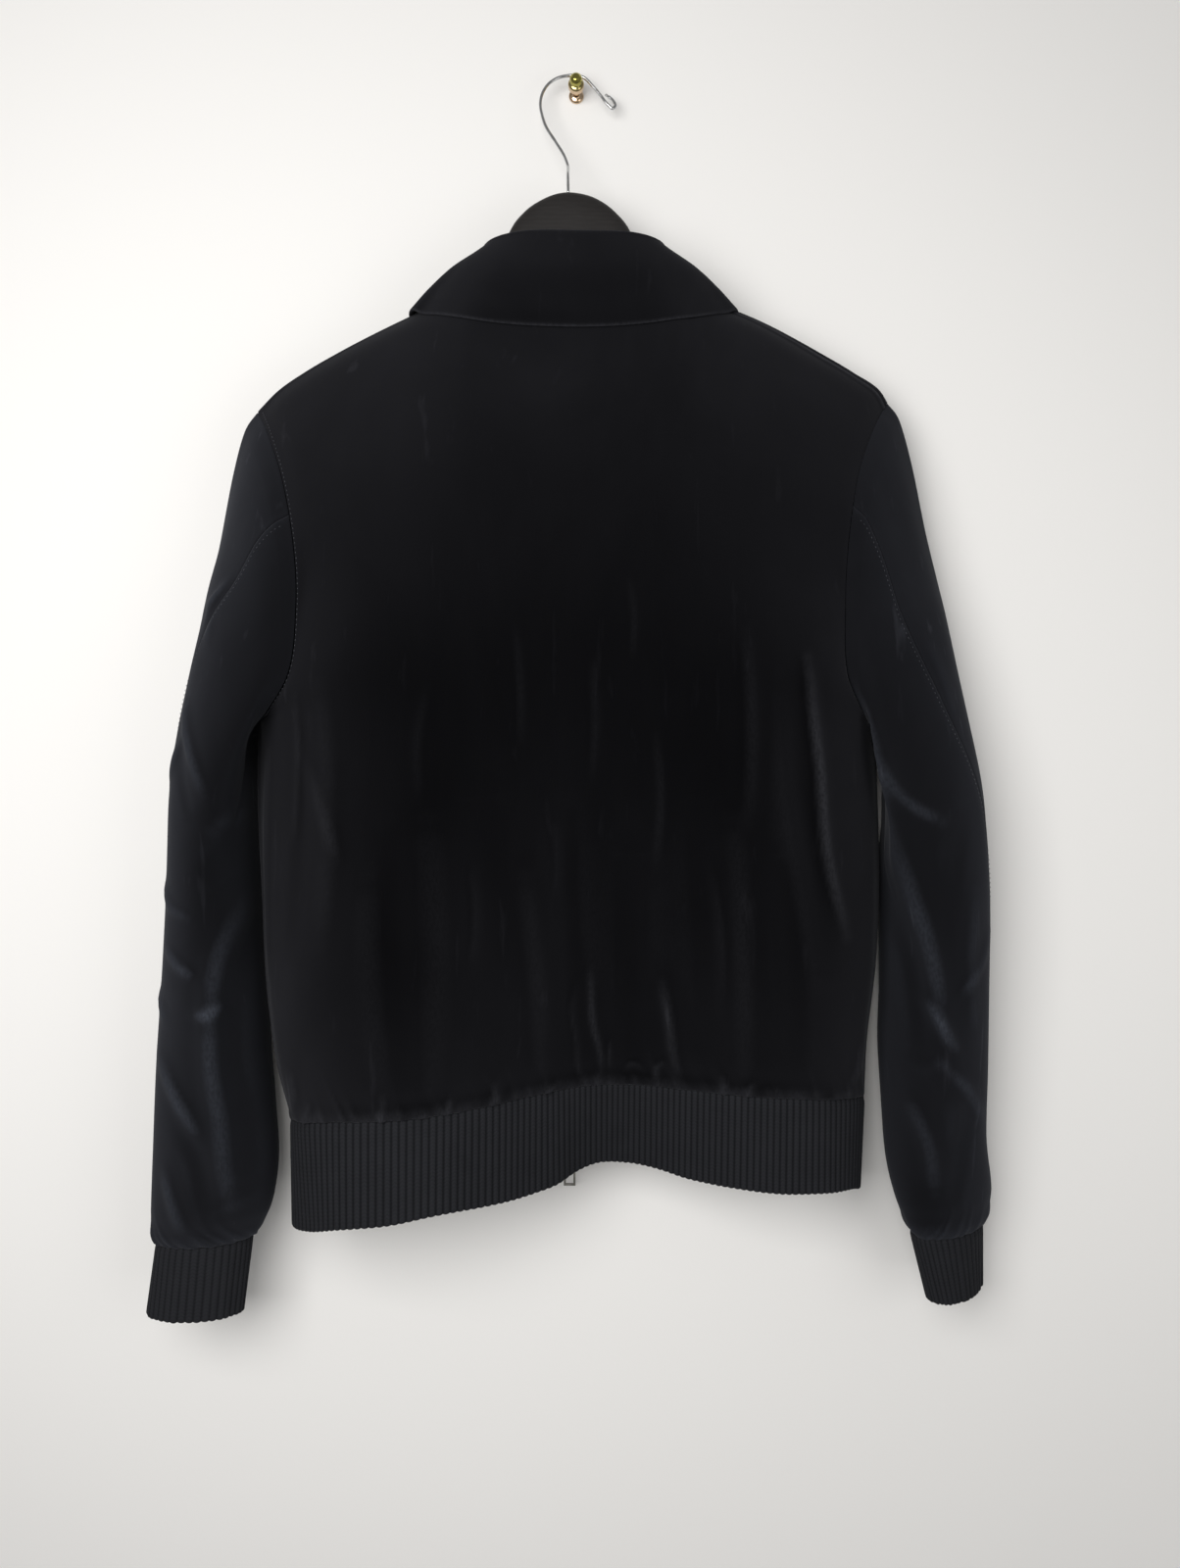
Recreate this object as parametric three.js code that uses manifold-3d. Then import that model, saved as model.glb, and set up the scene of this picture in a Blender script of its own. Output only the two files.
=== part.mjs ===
// Velvet bomber jacket on a wooden hanger whose wire hook rests on a wall peg.
// Millimetres. X runs right across the back, Y into the wall, Z up.
// The origin is the centre of the peg's flange, on the wall face.
import * as THREE from "three";
import Module from "manifold-3d";

// Walls and seams
const VELVET = 1.6;
const KNIT = 2.2;
const COLLAR_WALL = 2.4;
const SEAM_PULL = 0.2;
const SEAM_STEP = 0.35;
const RIB_RISE = 0.8;
const HEM_RIBS = 180;
const CUFF_RIBS = 38;
// Heights of the cloth tables are read from a line this far above the peg's axis.
const TABLE_RISE = 3.7;
// Share of the panel height at the underarm, and of the top edge taken by a shoulder.
const UNDERARM = 0.5;
const BACK_SHOULDER = 0.325;
const FRONT_SHOULDER = 0.6;

// Finishes
const VELVET_FINISH = { color: 0x17171b, roughness: 1, metalness: 0 };
const KNIT_FINISH = { color: 0x26272b, roughness: 1, metalness: 0 };
const TAPE_FINISH = { color: 0x1b1b1e, roughness: 1, metalness: 0 };
const STEEL_FINISH = { color: 0x9a9a98, roughness: 0.4, metalness: 1 };
const CHROME_FINISH = { color: 0xb8bcc0, roughness: 0.2, metalness: 1 };
const BRASS_FINISH = { color: 0xb59a3c, roughness: 0.3, metalness: 1 };
const WOOD_FINISH = { color: 0x332c2a, roughness: 0.5, metalness: 0 };

// Neckline and collar, left half: share along, seam point, roll line point, leaf edge point,
// and the way the leaf turns out.
const COLLAR_ROWS = [
  {
    at: 0.0,
    seam: [-24, -20, -257],
    roll: [-29, -17, -245],
    leaf: [-54, -9, -316],
    out: [-0.7, 0.7],
  },
  {
    at: 0.1,
    seam: [-44, -22, -238],
    roll: [-45, -19, -219],
    leaf: [-86, -9, -290],
    out: [-0.6, 0.8],
  },
  {
    at: 0.2,
    seam: [-68, -27, -206],
    roll: [-60, -24, -181],
    leaf: [-112, -17, -238],
    out: [-0.9, 0.5],
  },
  {
    at: 0.27,
    seam: [-81, -38, -177],
    roll: [-67, -37, -154],
    leaf: [-121, -34, -195],
    out: [-1, 0.1],
  },
  {
    at: 0.33,
    seam: [-82, -50, -171],
    roll: [-63, -52, -146],
    leaf: [-122, -60, -182],
    out: [-0.95, -0.3],
  },
  {
    at: 0.39,
    seam: [-70, -64, -171],
    roll: [-54, -69, -141.5],
    leaf: [-104, -86, -197],
    out: [-0.7, -0.7],
  },
  {
    at: 0.44,
    seam: [-45, -75, -174],
    roll: [-37, -79, -140.5],
    leaf: [-68, -100, -208],
    out: [-0.35, -0.93],
  },
  {
    at: 0.5,
    seam: [0, -80, -176],
    roll: [0, -84, -142],
    leaf: [0, -102, -213],
    out: [0, -1],
  },
];
const COLLAR_COLUMNS = 26;
// The roll's half width and drop at the stand and leaf, and nearer its top
const ROLL = { reach: 4.5, drop: 5, shoulderReach: 3.2, shoulderDrop: 1.4 };
// Shares down the stand and the leaf where the section has a point, and the leaf's swell
const STAND_MIDDLE = 0.5;
const LEAF_SHARES = [0.35, 0.7];
const LEAF_SWELL = 2;
const COLLAR_LIFT = 0.8;
// Places of the section's ten points along it, and the places where it is cut into rows
const PROFILE = [0, 0.5, 1, 1.35, 1.7, 2.05, 2.4, 3, 3.6, 4.2];
const PROFILE_CUTS = [0, 0.5, 0.95, 1.3, 1.7, 2.1, 2.45, 2.9, 3.35, 3.8, 4.2];
// The garment's turn about the upright line through the neck, in degrees.
const NECK_TURN = 3;
const NECK_PIVOT = [0, -62];
const NECK_TILT = 0.02;

// Seams of the body: [x, y, z]
const SIDE_LEFT = [
  [-205, -73, -773.5], [-213, -74, -744], [-221, -75, -690],
  [-226, -73, -610], [-231, -66, -540], [-232, -60, -487],
];
const SIDE_RIGHT = [
  [212.5, -55, -763], [214, -56, -724], [220, -59, -666],
  [223, -57, -600], [223.5, -50, -545], [222.5, -45, -494],
];
const ARMHOLE_BACK_LEFT = [
  [-232, -60, -487], [-214, -96, -481], [-199, -108, -462], [-192, -109, -412],
  [-198, -102, -350], [-206, -94, -318], [-221, -77, -281], [-233, -58, -261],
];
const ARMHOLE_FRONT_LEFT = [
  [-232, -60, -487], [-217, -30, -480], [-204, -20, -457], [-198, -18, -412],
  [-203, -22, -350], [-211, -29, -310], [-223, -43, -277], [-233, -58, -261],
];
const ARMHOLE_BACK_RIGHT = [
  [222.5, -45, -494], [207, -80, -486], [194, -91, -464], [190.5, -92, -410],
  [196, -86, -345], [204, -77, -308], [221, -57, -268], [234.4, -36, -247.5],
];
const ARMHOLE_FRONT_RIGHT = [
  [222.5, -45, -494], [210, -20, -484], [202, -12, -458], [198, -11, -409],
  [203, -12, -345], [211, -16, -303], [224, -25, -264], [234.4, -36, -247.5],
];
const SHOULDER_LEFT = [
  [-233, -58, -261], [-218.5, -58, -246], [-197, -58, -231], [-174.6, -58, -218], [-125, -56, -192],
];
const SHOULDER_RIGHT = [
  [234.4, -36, -247.5], [229.5, -37, -240], [208, -40, -226], [183.7, -43, -213], [129, -46, -186],
];
const HEM_BACK = [
  [-205, -73, -773.5], [-190, -103, -769], [-165, -119, -764.5], [-123, -124, -762],
  [-90, -119, -759.5], [-58, -106, -756.5], [-28, -92, -753], [-12, -86.5, -751],
  [2, -82.5, -749.5], [16.5, -80, -748.8], [38, -79, -749], [59, -80, -750],
  [80, -84, -751.5], [114, -91, -753.5], [148, -94, -755], [183, -88, -757],
  [204, -72, -760], [212.5, -55, -763],
];
const HEM_FRONT_LEFT = [
  [-205, -73, -773.5], [-205, -52, -773], [-196, -30, -771], [-172, -16, -767],
  [-100, -13, -759], [-16, -14, -755],
];
const HEM_FRONT_RIGHT = [
  [212.5, -55, -763], [208, -36, -762], [195, -20, -760], [165, -13, -757],
  [90, -12, -755], [2, -14, -755],
];
const CENTRE_LEFT = [
  [-16, -14, -755], [-17.5, -13, -700], [-20, -12, -600], [-21, -14, -450],
  [-22, -19, -350], [-23, -21, -290],
];
const CENTRE_RIGHT = [
  [2, -14, -755], [3.5, -13, -700], [6, -12, -600], [9, -12, -450],
  [13, -14, -350], [18, -16, -290],
];
// Lower edge of the hem band, from the left centre edge round the back to the right one.
const BAND_FRONT_LEFT = [
  [-16, -14, -824], [-100, -13, -828], [-170, -16, -836], [-194, -30, -842], [-203.5, -52, -848.5],
];
const BAND_BACK = [
  [-204, -74, -850.5], [-186, -101, -846], [-165, -115, -840], [-123, -125, -832.5],
  [-90.6, -120, -827.5], [-58.6, -105, -826.7], [-28.8, -88, -824], [-11.8, -77, -821],
  [2, -64, -816], [16.5, -55, -812.8], [38, -54, -813], [59.3, -62, -815],
  [80, -72, -818.8], [113.8, -84, -821.7], [147.5, -91, -823.5], [182.6, -87, -824],
  [202, -72, -826], [209, -55, -831],
];
const BAND_FRONT_RIGHT = [
  [205, -38, -831], [193, -22, -829], [165, -14, -827], [90, -12, -825], [2, -14, -824],
];

// Depth of the panels: y at shares across (columns) and up (rows)
const BACK_ACROSS = [0, 0.05, 0.13, 0.22, 0.33, 0.44, 0.55, 0.66, 0.77, 0.88, 0.95, 1];
const BACK_DEPTH = [
  { up: 0, y: [-73, -104, -121, -124, -112, -92, -78, -81, -91, -92, -78, -55] },
  { up: 0.1, y: [-75, -114, -130, -133, -121, -99, -84, -89, -100, -102, -87, -57] },
  { up: 0.3, y: [-73, -110, -128, -131, -121, -106, -95, -100, -106, -103, -86, -57] },
  { up: 0.5, y: [-60, -95, -118, -124, -121, -114, -108, -108, -108, -99, -80, -45] },
  { up: 0.7, y: [-108, -113, -119, -122, -120, -117, -114, -111, -107, -100, -95, -91] },
  { up: 0.85, y: [-99, -104, -109, -112, -112, -111, -109, -105, -100, -92, -86, -81] },
  { up: 0.94, y: [-84, -88, -91, -92, -93, -95, -94, -88, -82, -76, -70, -64] },
  { up: 0.98, y: [-70, -72, -74, -75, -77, -88, -87, -68, -62, -56, -53, -48] },
  { up: 1, y: [-58, -58, -58, -57, -52, -79, -79, -44, -44, -42, -39, -36] },
];
const FRONT_ACROSS = [0, 0.06, 0.15, 0.3, 0.5, 0.7, 0.85, 1];
const FRONT_LEFT_DEPTH = [
  { up: 0, y: [-73, -46, -27, -16, -13, -13, -13, -14] },
  { up: 0.1, y: [-74, -45, -24, -11, -9, -9, -10, -13] },
  { up: 0.3, y: [-73, -40, -21, -9, -8, -8, -9, -12] },
  { up: 0.5, y: [-60, -32, -19, -12, -11, -11, -12, -13] },
  { up: 0.7, y: [-18, -16, -15, -15, -15, -15, -16, -16] },
  { up: 0.85, y: [-28, -27, -26, -26, -25, -23, -21, -20] },
  { up: 0.94, y: [-40, -38, -36, -35, -33, -28, -23, -22] },
  { up: 0.98, y: [-50, -48, -46, -45, -43, -33, -24, -22] },
  { up: 1, y: [-58, -58, -58, -57, -53, -40, -24, -20] },
];
const FRONT_RIGHT_DEPTH = [
  { up: 0, y: [-55, -32, -19, -13, -12, -12, -12, -14] },
  { up: 0.1, y: [-57, -32, -15, -9, -8, -8, -10, -13] },
  { up: 0.3, y: [-57, -30, -14, -8, -7, -7, -9, -12] },
  { up: 0.5, y: [-45, -26, -15, -9, -8, -8, -9, -12] },
  { up: 0.7, y: [-11, -9, -8, -8, -8, -8, -11, -13] },
  { up: 0.85, y: [-14, -14, -14, -14, -14, -14, -15, -16] },
  { up: 0.94, y: [-22, -21, -20, -21, -23, -21, -20, -19] },
  { up: 0.98, y: [-28, -28, -29, -31, -33, -28, -21, -19] },
  { up: 1, y: [-36, -38, -42, -44, -44, -33, -21, -18] },
];

// Rows up a panel and shares along a shoulder and along each half of the back neckline
const ROWS = [
  0, 0.025, 0.07, 0.13, 0.2, 0.27, 0.34, 0.4, 0.45, 0.5,
  0.535, 0.58, 0.64, 0.7, 0.76, 0.82, 0.88, 0.93, 0.965, 0.985, 1,
];
const SHOULDER_COLUMNS = [0, 0.05, 0.12, 0.22, 0.35, 0.5, 0.66, 0.83, 1];
const NECK_CELLS = 10;
const FRONT_NECK_CELLS = 5;

// Sleeve rings from the armhole to the cuff: outer point [x, z], inner point [x, z], middle y,
// half depth, twist of the seams and turn of the ring in degrees
const SLEEVE_LEFT = [
  { outer: [-233, -261], inner: [-232, -487], y: -61, deep: 45, twist: 0, turn: 0 },
  { outer: [-243, -276], inner: [-237, -496], y: -61, deep: 48, twist: -3, turn: 0 },
  { outer: [-253, -305], inner: [-238, -508], y: -61, deep: 51, twist: -9, turn: 0 },
  { outer: [-264, -348], inner: [-237, -526], y: -61, deep: 53, twist: -16, turn: 0 },
  { outer: [-275, -385], inner: [-236, -548], y: -61, deep: 54, twist: -24, turn: 0 },
  { outer: [-280, -420], inner: [-235, -568], y: -61, deep: 54, twist: -32, turn: 0 },
  { outer: [-284, -458], inner: [-234, -590], y: -61, deep: 54, twist: -42, turn: 0 },
  { outer: [-288, -498], inner: [-232.5, -613], y: -60, deep: 53, twist: -53, turn: 0 },
  { outer: [-291, -540], inner: [-231, -637], y: -60, deep: 52, twist: -65, turn: 0 },
  { outer: [-293, -580], inner: [-230, -664], y: -59, deep: 51, twist: -76, turn: 0 },
  { outer: [-295, -625], inner: [-228, -694], y: -58, deep: 50, twist: -85, turn: 0 },
  { outer: [-297.5, -677], inner: [-226, -728], y: -58, deep: 48, twist: -92, turn: 0 },
  { outer: [-302, -740], inner: [-222.5, -768], y: -58, deep: 44, twist: -96, turn: 0 },
  { outer: [-304.5, -795], inner: [-219.5, -808], y: -59, deep: 39, twist: -98, turn: 0 },
  { outer: [-306, -842], inner: [-224, -842], y: -61, deep: 33, twist: -98, turn: 0 },
  { outer: [-305, -866], inner: [-235, -862], y: -62, deep: 22, twist: -98, turn: 0 },
];
const SLEEVE_RIGHT = [
  { outer: [234.4, -247.5], inner: [222.5, -494], y: -48, deep: 41, twist: 0, turn: 0 },
  { outer: [243, -262], inner: [228, -501], y: -48, deep: 43, twist: 0, turn: 0 },
  { outer: [252, -296], inner: [230, -512], y: -48, deep: 44, twist: 0, turn: 0 },
  { outer: [262, -347], inner: [230, -530], y: -48, deep: 45, twist: 0, turn: 0 },
  { outer: [270, -383], inner: [230, -550], y: -48, deep: 45, twist: -1, turn: 0 },
  { outer: [278, -418], inner: [230, -571], y: -48, deep: 45, twist: -3, turn: 0 },
  { outer: [285, -456], inner: [229, -592], y: -48, deep: 45, twist: -8, turn: 0 },
  { outer: [292, -497], inner: [228, -615], y: -48, deep: 45, twist: -16, turn: 2 },
  { outer: [298, -537], inner: [228, -638], y: -48, deep: 44, twist: -24, turn: 4 },
  { outer: [301, -580], inner: [228, -664], y: -48, deep: 44, twist: -33, turn: 6 },
  { outer: [302.5, -625], inner: [228, -694], y: -47, deep: 43, twist: -46, turn: 9 },
  { outer: [302.5, -677], inner: [227, -728], y: -46, deep: 41, twist: -60, turn: 13 },
  { outer: [303, -740], inner: [229, -768], y: -45, deep: 37, twist: -76, turn: 20 },
  { outer: [304, -795], inner: [231, -808], y: -44, deep: 33, twist: -84, turn: 28 },
  { outer: [315, -838], inner: [233, -840], y: -43, deep: 27, twist: -88, turn: 38 },
  { outer: [315, -862], inner: [238, -862], y: -43, deep: 21, twist: -88, turn: 44 },
];
// Share of the way down the sleeve over which the armhole's own shape fades out.
const ARMHOLE_FADE = 0.55;
const UNDER_FRONT_FADE = 0.85;
// Sleeve column on the back half where the upper panel ends, and the one on the front half.
const BACK_SEAM_COLUMN = 5;
const FRONT_SEAM_COLUMN = 17;
// Lower rings of the cuffs: centre, half width, half depth and turn in degrees
const CUFF_LEFT = { centre: [-276.5, -63, -918], wide: 34.5, deep: 20, turn: -4 };
const CUFF_RIGHT = { centre: [282, -43, -911], wide: 32, deep: 17, turn: 50 };

// Zip
const TAPE_WALL = 1;
const TAPE_UNDER = 6.5;
const TAPE_OUT = 5.5;
const TAPE_CELLS = 14;
const TAPE_FOOT = -824;
const TAPE_BAND_Y = -16.7;
const TAPE_BAND_TOP = -760;
const TAPE_BEHIND = 2.4;
const TAPE_FIRST = 0.06;
const TAPE_LAST = 0.96;
const SLIDER = { x: -5, y: -17.2, wide: 8, high: 11, top: -808, web: 1.4, plate: 1.4, slot: 2.2 };
const BOX = { wide: 5.4, high: 4.4, web: 1.6, plate: 1.1, slot: 1.8, below: 0.5 };
const BAIL = { wide: 3, thick: 1.1, open: 2.9 };
const PULL = { wide: 9, foot: -843.5, bar: 1.6 };

// Hanger: x, top z, underside z, half thickness
const HANGER_ROWS = [
  [-216, -257, -264, 3.5], [-211, -250, -270, 5.5], [-190, -236.5, -259, 6], [-160, -219, -243, 6.2],
  [-125, -203, -226, 6.4], [-95, -191.5, -211, 6], [-80, -184.5, -202, 6.2], [-67, -173, -192, 7],
  [-58, -156, -182, 7], [-53, -137, -176, 7], [-47, -123, -172, 7], [-38, -111.5, -168, 7],
  [-25, -102, -165, 7], [-11, -96.6, -164, 7], [3, -96.6, -164, 7], [17, -101, -165, 7],
  [30, -110.5, -168, 7], [40, -123, -172, 7], [46, -137, -176, 7], [52, -152, -180, 7],
  [60, -168, -189, 7], [75, -178, -198, 6.8], [95, -187, -209, 6.6], [125, -199, -222, 6.4],
  [160, -213, -238, 6.2], [190, -228, -252, 6], [212, -242, -263, 5.5], [218, -249, -256, 3.5],
];
const HANGER_Y = -48;
const HANGER_LEAN = 0.045;
const HANGER_ROUND = 14;
const HANGER_SQUARE = 2.8;

// Wire hook: centre line from the wood to the turned-back tip
const WIRE = 1.2;
const WIRE_ROUND = 8;
const WIRE_STEPS = 44;
const HOOK = [
  [-5.4, -48.2, -99.6], [-5.8, -42, -83], [-6.3, -34.5, -71.1], [-8.3, -32.5, -64.7],
  [-15.3, -28.5, -51.1], [-22.7, -25, -37.7], [-26, -21.5, -26.5], [-27.3, -19.5, -18.3],
  [-26.2, -17.5, -8.7], [-21.5, -16, 0], [-14.6, -15.2, 5.2], [-6, -15, 7.4],
  [0, -15, 7.6], [6, -15, 5.8], [12.7, -15, -0.6], [18.9, -15, -8],
  [25.1, -15, -15.7], [27.9, -14.7, -17.7], [30.2, -13.9, -15.4], [28.6, -12.8, -10.8],
  [22.8, -12, -5.5],
];
// Wall peg: radius and distance from the wall
const PEG = [
  [5.8, 0], [5.8, 1.2], [4.6, 2.2], [2.6, 3], [2.6, 10.6], [5, 11.6], [6.1, 12.8],
  [6.1, 17], [5, 18], [3.4, 18.7], [4.6, 20], [5, 22], [4.4, 24.4], [2.6, 26.2],
];
const PEG_ROUND = 24;

const DEGREE = Math.PI / 180;
const lerp = (a, b, t) => a + (b - a) * t;
const mixed = (p, q, t) => p.map((value, k) => lerp(value, q[k], t));
const plus = (p, q, scale = 1) => p.map((value, k) => value + q[k] * scale);
const minus = (p, q) => p.map((value, k) => value - q[k]);
const length = (p) => Math.hypot(...p);
const unit = (p) => p.map((value) => value / (length(p) || 1));
const cross = (p, q) => [
  p[1] * q[2] - p[2] * q[1],
  p[2] * q[0] - p[0] * q[2],
  p[0] * q[1] - p[1] * q[0],
];
const smooth = (t) => {
  const c = Math.min(1, Math.max(0, t));
  return c * c * (3 - 2 * c);
};

// Slope at one knot of a curve through rows: the chords beside it, each weighted by the other's
// span; at an end, the one chord.
function slopeAt(stations, rows, i) {
  const a = Math.max(0, i - 1);
  const b = Math.min(stations.length - 1, i + 1);
  const chord = (from, to, n) => (rows[to][n] - rows[from][n]) / (stations[to] - stations[from]);
  if (a === i || b === i) return rows[i].map((_, n) => chord(a, b, n));
  const before = stations[i] - stations[a];
  const after = stations[b] - stations[i];
  return rows[i].map((_, n) => (chord(a, i, n) * after + chord(i, b, n) * before) / (before + after));
}

// Smooth curve through rows of numbers at uneven stations.
function through(stations, rows, t) {
  let k = 0;
  while (k < stations.length - 2 && t > stations[k + 1]) k += 1;
  const span = stations[k + 1] - stations[k];
  const f = (t - stations[k]) / span;
  const m0 = slopeAt(stations, rows, k);
  const m1 = slopeAt(stations, rows, k + 1);
  const h00 = (1 + 2 * f) * (1 - f) * (1 - f);
  const h10 = f * (1 - f) * (1 - f) * span;
  const h01 = f * f * (3 - 2 * f);
  const h11 = f * f * (f - 1) * span;
  return rows[k].map((value, n) => h00 * value + h10 * m0[n] + h01 * rows[k + 1][n] + h11 * m1[n]);
}

// Running chord length at each point.
function chords(points) {
  const stations = [0];
  for (let k = 1; k < points.length; k += 1) {
    stations.push(stations[k - 1] + length(minus(points[k], points[k - 1])));
  }
  return stations;
}

// Curve through points, read by its share of the chord length.
function curve(points) {
  const stations = chords(points);
  const total = stations[stations.length - 1];
  return (t) => through(stations, points, t * total);
}

// A point of the neck turned about the upright line through it and tilted; with scale 0 a way is
// turned alone.
function turned([x, y, ...rest], scale = 1) {
  const c = Math.cos(NECK_TURN * DEGREE);
  const s = Math.sin(NECK_TURN * DEGREE);
  const [px, py] = NECK_PIVOT.map((value) => value * scale);
  const dx = x - px;
  const dy = y - py;
  return [px + dx * c - dy * s, py + dx * s + dy * c, ...rest.map((z) => z + x * NECK_TILT)];
}

// Neckline and collar lines over the whole neck, 0 at the left front and 1 at the right.
const neckRows = [
  ...COLLAR_ROWS.map((row) => ({ ...row, side: 1 })),
  ...COLLAR_ROWS.slice(0, -1).reverse().map((row) => ({ ...row, at: 1 - row.at, side: -1 })),
];
const neckStations = neckRows.map((row) => row.at);
const flipped = ([x, ...rest], side) => [x * side, ...rest];
function neckLine(key) {
  const rows = neckRows.map((row) => turned(flipped(row[key], row.side)));
  return (t) => through(neckStations, rows, t);
}
const neckSeam = neckLine("seam");
const neckRoll = neckLine("roll");
const neckLeaf = neckLine("leaf");
const outRows = neckRows.map((row) => turned(flipped(row.out, row.side), 0));
const neckOut = (t) => [...unit(through(neckStations, outRows, t)), 0];
const NECK_POINT = COLLAR_ROWS[4].at;

// Edges of the panels.
const shoulderLeft = curve([...SHOULDER_LEFT, neckSeam(NECK_POINT)]);
const shoulderRight = curve([...SHOULDER_RIGHT, neckSeam(1 - NECK_POINT)]);
const centreLeft = curve([...CENTRE_LEFT, neckSeam(0)]);
const centreRight = curve([...CENTRE_RIGHT, neckSeam(1)]);
function sideEdge(side, armhole) {
  const low = curve(side);
  const high = curve(armhole);
  return (v) => (v <= UNDERARM ? low(v / UNDERARM) : high((v - UNDERARM) / (1 - UNDERARM)));
}
function backTop(u) {
  if (u <= BACK_SHOULDER) return shoulderLeft(u / BACK_SHOULDER);
  if (u >= 1 - BACK_SHOULDER) return shoulderRight((1 - u) / BACK_SHOULDER);
  const f = (u - BACK_SHOULDER) / (1 - 2 * BACK_SHOULDER);
  return neckSeam(lerp(NECK_POINT, 1 - NECK_POINT, f));
}
function frontTop(shoulder, neckFrom, neckTo) {
  return (u) => {
    if (u <= FRONT_SHOULDER) return shoulder(u / FRONT_SHOULDER);
    return neckSeam(lerp(neckFrom, neckTo, (u - FRONT_SHOULDER) / (1 - FRONT_SHOULDER)));
  };
}

// Panel surface: an even patch with the depth table, bent to meet its bottom and top edges and
// then its two sides. Each bend fades away from its edge.
const FADE = { bottom: 1, top: 5, backSide: 7, frontSide: 4 };
const CROWN = 75;
function panelSurface({ bottom, top, near, far, across, depth, fade }) {
  const ups = depth.map((row) => row.up);
  const corners = [bottom(0), bottom(1), top(0), top(1)];
  const tableAt = (u, v) => {
    const line = depth.map((row) => through(across, row.y.map((value) => [value]), u));
    return through(ups, line, v)[0];
  };
  const patch = (u, v) => {
    const point = mixed(mixed(corners[0], corners[1], u), mixed(corners[2], corners[3], u), v);
    return [point[0], tableAt(u, v), point[2] + CROWN * 4 * u * (1 - u) * v * v];
  };
  const raised = (u, v) =>
    plus(
      plus(patch(u, v), minus(bottom(u), patch(u, 0)), (1 - v) ** FADE.bottom),
      minus(top(u), patch(u, 1)),
      v ** FADE.top,
    );
  return (u, v) =>
    plus(
      plus(raised(u, v), minus(near(v), raised(0, v)), (1 - u) ** fade),
      minus(far(v), raised(1, v)),
      u ** fade,
    );
}
const gridOf = (columns, rows, surface) => columns.map((u) => rows.map((v) => surface(u, v)));

// Unit normals of a grid, turned to the given side; a round grid closes on itself.
function normals(grid, sign, round = false) {
  const count = grid.length;
  return grid.map((line, i) =>
    line.map((_, j) => {
      const before = round ? (i + count - 1) % count : Math.max(0, i - 1);
      const after = round ? (i + 1) % count : Math.min(count - 1, i + 1);
      const along = minus(grid[after][j], grid[before][j]);
      const up = minus(line[Math.min(line.length - 1, j + 1)], line[Math.max(0, j - 1)]);
      return unit(cross(along, up)).map((value) => value * sign);
    }),
  );
}
const level = (direction) => unit([direction[0], direction[1], 0]);

// Way out of the armhole ring at each row, square to the ring as seen from the side.
function ringWay(edge, middle) {
  return edge.map((point, k) => {
    const before = edge[Math.max(0, k - 1)];
    const after = edge[Math.min(edge.length - 1, k + 1)];
    const way = [0, after[2] - before[2], before[1] - after[1]];
    const outward = (point[1] - middle[1]) * way[1] + (point[2] - middle[2]) * way[2];
    return unit(way).map((value) => value * Math.sign(outward || 1));
  });
}

// Way out of an oval at an angle in degrees, from its two half axes.
function ovalWay(wide, thick, angle) {
  const across = unit(wide).map((value) => (value * Math.cos(angle * DEGREE)) / length(wide));
  return unit(plus(across, unit(thick), Math.sin(angle * DEGREE) / length(thick)));
}

// Closed body from positions and triangles, faced outward.
function body(name, positions, triangles, finish) {
  let volume = 0;
  for (const [a, b, c] of triangles) {
    const p = positions[a];
    const n = cross(positions[b], positions[c]);
    volume += p[0] * n[0] + p[1] * n[1] + p[2] * n[2];
  }
  const index = triangles.flatMap(([a, b, c]) => (volume > 0 ? [a, b, c] : [a, c, b]));
  const geometry = new THREE.BufferGeometry();
  geometry.setAttribute("position", new THREE.Float32BufferAttribute(positions.flat(), 3));
  geometry.setIndex(index);
  geometry.computeVertexNormals();
  const mesh = new THREE.Mesh(geometry, new THREE.MeshStandardMaterial(finish));
  mesh.name = name;
  return mesh;
}

// Wall between an outer and an inner grid, stitched along its open edges.
function wall(name, outer, inner, round, finish) {
  const columns = outer.length;
  const rows = outer[0].length;
  const positions = [...outer.flat(), ...inner.flat()];
  const at = (i, j, layer) => layer * columns * rows + (i % columns) * rows + j;
  const triangles = [];
  const quad = (a, b, c, d) => triangles.push([a, b, c], [a, c, d]);
  const cells = round ? columns : columns - 1;
  for (let i = 0; i < cells; i += 1) {
    for (let j = 0; j < rows - 1; j += 1) {
      quad(at(i, j, 0), at(i + 1, j, 0), at(i + 1, j + 1, 0), at(i, j + 1, 0));
      quad(at(i, j, 1), at(i, j + 1, 1), at(i + 1, j + 1, 1), at(i + 1, j, 1));
    }
    quad(at(i, 0, 0), at(i, 0, 1), at(i + 1, 0, 1), at(i + 1, 0, 0));
    quad(at(i, rows - 1, 0), at(i + 1, rows - 1, 0), at(i + 1, rows - 1, 1), at(i, rows - 1, 1));
  }
  if (!round) {
    const last = columns - 1;
    for (let j = 0; j < rows - 1; j += 1) {
      quad(at(0, j, 0), at(0, j + 1, 0), at(0, j + 1, 1), at(0, j, 1));
      quad(at(last, j, 0), at(last, j, 1), at(last, j + 1, 1), at(last, j + 1, 0));
    }
  }
  return body(name, positions, triangles, finish);
}

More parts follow.
